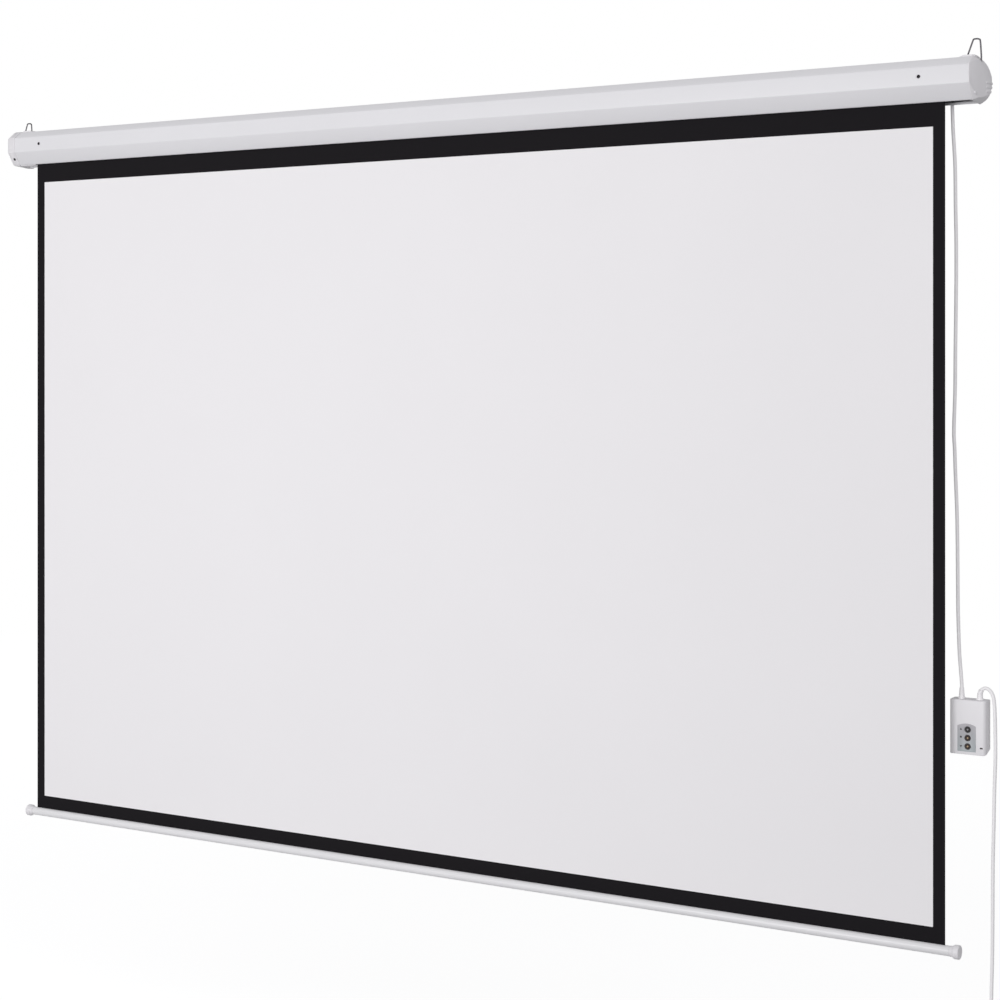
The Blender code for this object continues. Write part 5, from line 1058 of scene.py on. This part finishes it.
    def shorten_plate(self):
        """Copies the right end plate and sets its ear back, inside the slope of the dome."""
        plate = copy_piece(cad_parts["end_plate_right"], "end_plate_pressing_right")
        past_case = 0.0032
        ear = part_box("case_shell")[1].x + past_case
        edit(plate, "SELECT")
        bpy.ops.mesh.remove_doubles(threshold=1e-6)
        pick(plate, "VERT", lambda place, normal: place.x > ear)
        bpy.ops.transform.resize(value=(0.0, 1.0, 1.0), center_override=(ear, 0.0, 0.0))
        close_edit()
        finish_piece(plate, "zinc_plated_steel", "steel", "case", "end_plate_right", angle=0)

    def add_painted_screw(self, start, front, slope):
        """Turns the right cap's screw, painted with the cap and low on its sloped front."""
        back_shift, rise = 0.0016, 0.0011
        low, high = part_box("cap_screw_right")
        y = high.y + back_shift
        place = Vector((start - slope.y / slope.x * (y - front), y, low.z + rise))
        screw = turn_piece("painted_cap_screw", SCREW_RINGS, place, slope, 32)
        finish_piece(screw, "powder_coated_steel", "case_paint", "case", "cap_screw_right")


class PROJECTOR_OT_bails(bpy.types.Operator):
    """Bends the two wire bails that the case hangs on"""

    bl_idname = "projector.bails"
    bl_label = "Bails"

    def execute(self, context):
        wire = context.scene.projector_case.wire
        middle = middle_of("bail_right")
        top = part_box("bail_right")[1].z - wire
        points = [Vector((middle.x + lean / 1000, 0.0, top - drop / 1000)) for lean, drop in BAIL_BEND]
        right = make_solid(add_cable("bail_wire_right", smooth_route(points, 6), wire, 6))
        left = copy_piece(right, "bail_wire_left")
        shift_piece(left, middle_of("bail_left") - middle)
        for bail, node in ((right, "bail_right"), (left, "bail_left")):
            finish_piece(bail, "spring_steel_wire", "steel", node, node, angle=50)
        return {"FINISHED"}


def cloth_sheet(name, low_z, high_z, rows, columns, thickness, white_top):
    """Weaves a thin closed sheet with a UV map in metres, its back and edges in a second material."""
    low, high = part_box("screen_fabric")
    middle = (low.y + high.y) / 2
    shape = bmesh.new()
    uv = shape.loops.layers.uv.new("cloth")
    front, back = [[[shape.verts.new((low.x + (high.x - low.x) * i / columns, y,
                                      low_z + (high_z - low_z) * j / rows))
                     for i in range(columns + 1)] for j in range(rows + 1)]
                   for y in (middle - thickness / 2, middle + thickness / 2)]
    dark = []
    for j in range(rows):
        for i in range(columns):
            shape.faces.new((front[j][i], front[j][i + 1], front[j + 1][i + 1], front[j + 1][i]))
            dark.append((back[j][i], back[j + 1][i], back[j + 1][i + 1], back[j][i + 1]))
    dark += [(front[0][i], front[0][i + 1], back[0][i + 1], back[0][i]) for i in range(columns)]
    dark += [(front[-1][i + 1], front[-1][i], back[-1][i], back[-1][i + 1]) for i in range(columns)]
    dark += [(front[j + 1][0], front[j][0], back[j][0], back[j + 1][0]) for j in range(rows)]
    dark += [(front[j][-1], front[j + 1][-1], back[j + 1][-1], back[j][-1]) for j in range(rows)]
    for corners in dark:
        shape.faces.new(corners).material_index = 1
    bmesh.ops.recalc_face_normals(shape, faces=shape.faces)
    for face in shape.faces:
        for loop in face.loops:
            loop[uv].uv = (loop.vert.co.x, loop.vert.co.z - white_top)
    return make_piece(name, shape)


class PROJECTOR_OT_cloth(bpy.types.Operator):
    """Makes the hanging screen and the black strip at its foot that goes into the bar"""

    bl_idname = "projector.cloth"
    bl_label = "Screen"

    def execute(self, context):
        sizes = context.scene.projector_screen
        low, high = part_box("screen_fabric")
        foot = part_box("bar_tube")[1].z + sizes.bottom_border
        case_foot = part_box("case_shell")[0].z + context.scene.projector_case.lip_drop
        white_top = case_foot - sizes.top_border
        screen = cloth_sheet("screen_cloth", foot, high.z, 96, 140, sizes.thickness, white_top)
        finish_piece(screen, "coated_fibreglass", "screen_cloth", "case", "screen_fabric", angle=0)
        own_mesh(screen)
        # The hem is black all over, because its white would start far below it
        hem = cloth_sheet("screen_hem", low.z, foot, 8, 70, sizes.thickness, -9.0)
        finish_piece(hem, "coated_fibreglass", "screen_cloth", "bottom_bar", angle=0)
        for sheet in (screen, hem):
            sheet.data.materials.append(bpy.data.materials["black_acrylic_backing"])
        return {"FINISHED"}


class PROJECTOR_OT_roll(bpy.types.Operator):
    """Winds the turns of screen that stay on the roller"""

    bl_idname = "projector.roll"
    bl_label = "Wound Screen"

    def execute(self, context):
        low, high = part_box("fabric_wrap")
        middle = middle_of("fabric_wrap")
        inner, outer, turns, thickness = 0.0224, 0.0233, 2.0, 0.0004
        steps = 128
        shape = bmesh.new()
        rows = []
        for i in range(steps + 1):
            share = i / steps
            angle = math.pi - 2 * math.pi * turns * (1 - share)
            radius = inner + (outer - inner) * share
            y, z = middle.y + radius * math.cos(angle), middle.z + radius * math.sin(angle)
            rows.append([shape.verts.new((x, y, z)) for x in (low.x, high.x)])
        for a, b in zip(rows, rows[1:]):
            shape.faces.new((a[0], a[1], b[1], b[0]))
        roll = make_piece("screen_roll", shape)
        apply_modifier(roll, "SOLIDIFY", thickness=thickness, offset=0.0)
        finish_piece(roll, "black_acrylic_backing", "screen_cloth", "roller", "fabric_wrap", angle=40)
        return {"FINISHED"}


class PROJECTOR_OT_weight_bar(bpy.types.Operator):
    """Models the weight bar: a slotted tube and its two flared caps"""

    bl_idname = "projector.weight_bar"
    bl_label = "Weight Bar"

    def execute(self, context):
        sizes = context.scene.projector_screen
        low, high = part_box("bar_tube")
        y, z, gap = (low.y + high.y) / 2, high.z - sizes.bar_radius, 0.0003
        bar = add_rod("bar_extrusion", Vector((low.x, y, z)), Vector((high.x, y, z)), sizes.bar_radius,
                      68, "NOTHING")
        edit(bar)
        delete_picked(bar, lambda place, normal: place.z > z and abs(place.y - y) < sizes.bar_slot)
        close_edit()
        thicken(bar, sizes.bar_wall)
        finish_piece(bar, "painted_aluminium", "bar_paint", "bottom_bar", "bar_tube")
        for word, side in SIDES.items():
            place = Vector((side * (high.x + gap), y, z))
            cap = turn_piece("bar_end_" + word, BAR_END_RINGS, place, X_AXIS * side, 56)
            finish_piece(cap, "moulded_abs", "cap_plastic", "bottom_bar", "bar_cap_" + word)
        return {"FINISHED"}


def button_place(sizes, row):
    """Gives a button's place on the box's front, counted from the top."""
    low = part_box("box_front")[0]
    return Vector((middle_of("button_up").x, low.y, low.z + sizes.pitch * (len(BUTTONS) - row)))


def drill_buttons(piece, sizes, reach):
    """Drills the holes for the three buttons."""
    for row in range(len(BUTTONS)):
        drill(piece, button_place(sizes, row), Y_AXIS * reach, sizes.button + sizes.button_gap, 64)


class PROJECTOR_OT_box(bpy.types.Operator):
    """Models the two halves of the control box"""

    bl_idname = "projector.box"
    bl_label = "Control Box"

    def execute(self, context):
        sizes = context.scene.projector_box
        low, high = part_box("box_front")
        back, seam, seam_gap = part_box("box_rear")[1].y, high.y, 0.0002
        form = add_block("box_front_moulding", low, (high.x, back, high.z))
        edit(form)
        pick(form, "VERT", lambda place, normal: place.y > seam and place.z < low.z + NEAR)
        bpy.ops.transform.translate(value=(0.0, 0.0, sizes.toe_rise))
        for x, width in ((high.x, sizes.edge), (low.x, sizes.left_edge)):
            bevel_picked(form, width, 8, lambda place, way: abs(way.z) > 0.9
                         and place.y < low.y + NEAR and abs(place.x - x) < NEAR)
        bevel_picked(form, sizes.back_edge, 4, lambda place, way: abs(way.z) > 0.9
                     and place.y > back - NEAR)
        close_edit()
        round_edges(form, 0.0012, 3, 45)
        rear = copy_piece(form, "box_rear_moulding")
        for half, y, normal in ((form, seam, Y_AXIS), (rear, seam + seam_gap, -Y_AXIS)):
            edit(half, "SELECT")
            plane_cut((0.0, y, 0.0), normal, fill=False)
            close_edit()
            thicken(half, sizes.wall)
        self.cut_holes(form, sizes, low, high)
        finish_piece(form, "moulded_abs", "box_plastic", "case", "box_front")
        finish_piece(rear, "moulded_abs", "box_plastic", "case", "box_rear")
        return {"FINISHED"}

    def cut_holes(self, form, sizes, low, high):
        """Cuts the holes for the buttons, the window and the two cords."""
        reach, overlap = 0.004, 0.0007
        drill_buttons(form, sizes, reach)
        window_low, window_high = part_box("indicator_window")
        hole = add_block("hole", (window_low.x, low.y - reach, window_low.z + overlap),
                         (window_high.x, low.y + reach, window_high.z - overlap))
        combine(form, hole, "DIFFERENCE")
        for node in ("relief_motor", "relief_mains"):
            relief = middle_of(node)
            drill(form, Vector((relief.x, relief.y, high.z)), Z_AXIS * reach, sizes.cord_hole)


class PROJECTOR_OT_label(bpy.types.Operator):
    """Models the grey label with its arched top, its holes and its printed marks"""

    bl_idname = "projector.label"
    bl_label = "Label"

    def execute(self, context):
        sizes = context.scene.projector_box
        low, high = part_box("label_plate")
        label = add_block("label_film", low, high)
        centre, reach = Vector(((low.x + high.x) / 2, low.y, high.z - sizes.arch)), Y_AXIS * 0.01
        combine(label, add_rod("arch", centre - reach, centre + reach, sizes.arch, 256), "INTERSECT")
        drill_buttons(label, sizes, 0.01)
        round_edges(label, 0.0001, 2)
        finish_piece(label, "printed_polyester", "label_grey", "case", "label_plate")
        for row, (word, _, _, corners, turn, rise) in enumerate(BUTTONS):
            middle = button_place(sizes, row)
            place = Vector((middle.x - sizes.mark_shift, low.y, middle.z + rise))
            self.add_mark("mark_" + word, corners, turn, place)
        return {"FINISHED"}

    def add_mark(self, name, corners, turn, place):
        """Prints one small triangle or square on the label, a thin layer half sunk into it."""
        start_clean()
        radius = 0.0024 if corners == 4 else 0.0027
        ink, proud = 0.00008, 0.00002
        bpy.ops.mesh.primitive_cylinder_add(vertices=corners, radius=radius, depth=ink,
                                            location=place - Y_AXIS * proud,
                                            rotation=(math.pi / 2, turn, 0.0))
        mark = settle(name)
        round_edges(mark, 0.00002, 1)
        finish_piece(mark, "printed_ink", "black_plastic", "case", angle=0)


class PROJECTOR_OT_buttons(bpy.types.Operator):
    """Turns the three push buttons and the pads in their middles"""

    bl_idname = "projector.buttons"
    bl_label = "Buttons"

    def execute(self, context):
        sizes = context.scene.projector_box
        edge = sizes.button * 1000
        rings = ((2.0, -5.8), (2.0, -3.3), (6.6, -3.3), (6.6, -2.3), (edge, -2.3), (edge, 0.9),
                 (edge - 0.1, 1.3), (edge - 0.4, 1.6), (edge - 0.9, 1.8), (edge - 1.4, 1.8),
                 (edge - 1.9, 1.6), (3.4, 1.2), (2.5, 1.0), (2.1, 0.7), (2.1, -0.3))
        for row, (word, ring, pad, *_) in enumerate(BUTTONS):
            place, body = button_place(sizes, row), "button_" + word
            button = turn_piece("button_ring_" + word, rings, place, -Y_AXIS, 64)
            finish_piece(button, ring, "black_plastic", body, body, angle=40)
            middle = turn_piece("button_pad_" + word, PAD_RINGS, place, -Y_AXIS, 32)
            finish_piece(middle, pad, "button_light", body, "button_inlay_" + word, angle=50)
        return {"FINISHED"}


class PROJECTOR_OT_reliefs(bpy.types.Operator):
    """Models the grommet under the case and the two strain reliefs on the control box"""

    bl_idname = "projector.reliefs"
    bl_label = "Strain Reliefs"

    def execute(self, context):
        height = height_of("cable_gland")
        rings = ((4.6, 0.0), (5.0, 0.4), (5.0, 1.2), (4.2, 1.5), (4.2, height - 1.5), (5.0, height - 1.2),
                 (5.0, height - 0.3), (4.6, height))
        gland = turn_piece("cable_grommet", rings, foot_of("cable_gland"), Z_AXIS, 40)
        finish_piece(gland, "black_rubber", "black_plastic", "case", "cable_gland")
        height = height_of("relief_motor")
        rings = (collar_rings(7.3) + [(5.6, 6.6)]
                 + rib_rings(6, 5.6, 1.3, 6.6, (height - 7.5) / 6, 1.8, 0.8, 0.5)
                 + [(4.2, height - 0.4), (3.9, height)])
        relief = turn_piece("motor_cable_relief", rings, foot_of("relief_motor"), Z_AXIS, 40)
        finish_piece(relief, "pvc_sheath", "cord_white", "case", "relief_motor")
        self.bent_sleeve()
        return {"FINISHED"}

    def bent_sleeve(self):
        """Models the bent sleeve over the mains cord, on its collar, with grooves in its middle part."""
        radius, taper, groove_share = 0.0060, 0.2, 0.93
        points = smooth_route(hanging(SLEEVE_ROUTE), 12)
        curve = add_cable("mains_cord_relief", points, radius, 6)
        for i, point in enumerate(curve.data.splines[0].points):
            share = i / (len(points) - 1)
            groove = groove_share if 0.15 < share < 0.92 and i % 6 in (0, 1) else 1.0
            point.radius = (1.0 - taper * share) * groove
        sleeve = make_solid(curve)
        collar = turn_piece("collar", collar_rings(7.5), foot_of("relief_mains"), Z_AXIS, 40)
        combine(sleeve, collar, "UNION")
        finish_piece(sleeve, "pvc_sheath", "cord_white", "case", "relief_mains", angle=40)


class PROJECTOR_OT_plug(bpy.types.Operator):
    """Models the moulded plug and the strap round the hank"""

    bl_idname = "projector.plug"
    bl_label = "Plug and Tie"

    def execute(self, context):
        low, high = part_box("plug_body")
        body_height, corner, shoulder, waist, rounding = 0.027, 0.006, 0.004, 0.62, 0.0015
        top = Vector(((low.x + high.x) / 2, (low.y + high.y) / 2, low.z + body_height))
        plug = add_block("plug_moulding", low, (high.x, high.y, top.z))
        edit(plug)
        bevel_picked(plug, corner, 6, lambda place, way: abs(way.z) > 0.9)
        pick(plug, "FACE", lambda place, normal: normal.z > 0.9)
        push((0.0, 0.0, shoulder), (waist, waist, 1.0), top)
        close_edit()
        round_edges(plug, rounding, 3)
        rings = [(6.0, 0.0), (6.0, 4.0), *rib_rings(4, 5.8, 1.3, 4.6, 3.6, 2.2, 1.0, 0.6),
                 (4.2, 19.0), (4.0, (high.z - top.z) * 1000)]
        combine(plug, turn_piece("relief", rings, top, Z_AXIS, 40), "UNION")
        finish_piece(plug, "pvc_sheath", "plug_white", "case", "plug_body")
        strap = add_block("hank_strap", *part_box("hank_tie"))
        corner, webbing, rounding = 0.0037, 0.0012, 0.0002
        edit(strap)
        bevel_picked(strap, corner, 5, lambda place, way: abs(way.z) > 0.9)
        delete_picked(strap, lambda place, normal: abs(normal.z) > 0.9)
        close_edit()
        thicken(strap, webbing)
        round_edges(strap, rounding, 2)
        finish_piece(strap, "hook_and_loop_nylon", "tie_black", "case", "hank_tie")
        return {"FINISHED"}


class PROJECTOR_OT_stage(bpy.types.Operator):
    """Lays the pale floor and sets the soft lights and the white surroundings"""

    bl_idname = "projector.stage"
    bl_label = "Stage"

    def execute(self, context):
        stage = context.scene.projector_stage
        start_clean()
        bpy.ops.mesh.primitive_circle_add(vertices=96, radius=stage.floor_radius, fill_type="NGON",
                                          location=(0.0, 0.0, -stage.floor_drop))
        floor = settle("floor")
        make_floor_paint()
        floor.data.materials.append(bpy.data.materials["matt_white_floor"])
        light_surroundings(context)
        front = self.add_lamp("front_light", "SUN", Vector((0.0, -6.0, 0.0)), FRONT_WAY)
        front.energy = stage.front_light
        front.angle = FRONT_SPREAD
        for name, place, target, width, share in LAMPS:
            lamp = self.add_lamp(name, "AREA", Vector(place), Vector(target) - Vector(place))
            lamp.shape = "DISK"
            lamp.size = width
            lamp.energy = stage.key_power * share
        context.scene.view_settings.view_transform = "Standard"
        return {"FINISHED"}

    def add_lamp(self, name, kind, place, way):
        """Adds a lamp that shines along a direction."""
        bpy.ops.object.light_add(type=kind, location=place, rotation=way.to_track_quat("-Z", "Y").to_euler())
        lamp = bpy.context.active_object
        lamp.name = name
        return lamp.data


class PROJECTOR_PT_panel(bpy.types.Panel):
    """Lists the settings and the steps in the 3D view's sidebar"""

    bl_idname = "PROJECTOR_PT_panel"
    bl_label = "Projector Screen"
    bl_space_type = "VIEW_3D"
    bl_region_type = "UI"
    bl_category = "Projector Screen"

    def draw(self, context):
        for name, group in SETTINGS.items():
            box = self.layout.box()
            box.label(text=group.__doc__)
            for setting in group.__annotations__:
                box.prop(getattr(context.scene, name), setting)
        column = self.layout.column(align=True)
        for step in STEPS:
            column.operator(step.bl_idname)


STEPS = (
    PROJECTOR_OT_camera, PROJECTOR_OT_materials, PROJECTOR_OT_motor_cable, PROJECTOR_OT_mains_cord,
    PROJECTOR_OT_stage, PROJECTOR_OT_case, PROJECTOR_OT_end_caps, PROJECTOR_OT_bails,
    PROJECTOR_OT_cloth, PROJECTOR_OT_roll, PROJECTOR_OT_weight_bar, PROJECTOR_OT_box,
    PROJECTOR_OT_label, PROJECTOR_OT_buttons, PROJECTOR_OT_reliefs, PROJECTOR_OT_plug,
)
CLASSES = (*SETTINGS.values(), *STEPS, PROJECTOR_PT_panel)


def register():
    """Adds the settings, the operators and the panel."""
    for kind in CLASSES:
        bpy.utils.register_class(kind)
    for name, group in SETTINGS.items():
        setattr(bpy.types.Scene, name, PointerProperty(type=group))


def unregister():
    """Takes the settings, the operators and the panel away again."""
    for name in SETTINGS:
        delattr(bpy.types.Scene, name)
    for kind in reversed(CLASSES):
        bpy.utils.unregister_class(kind)


def main():
    """Builds the whole object."""
    register()
    for step in STEPS:
        group, name = step.bl_idname.split(".")
        getattr(getattr(bpy.ops, group), name)()
    bpy.context.view_layer.update()


if __name__ == "__main__":
    main()
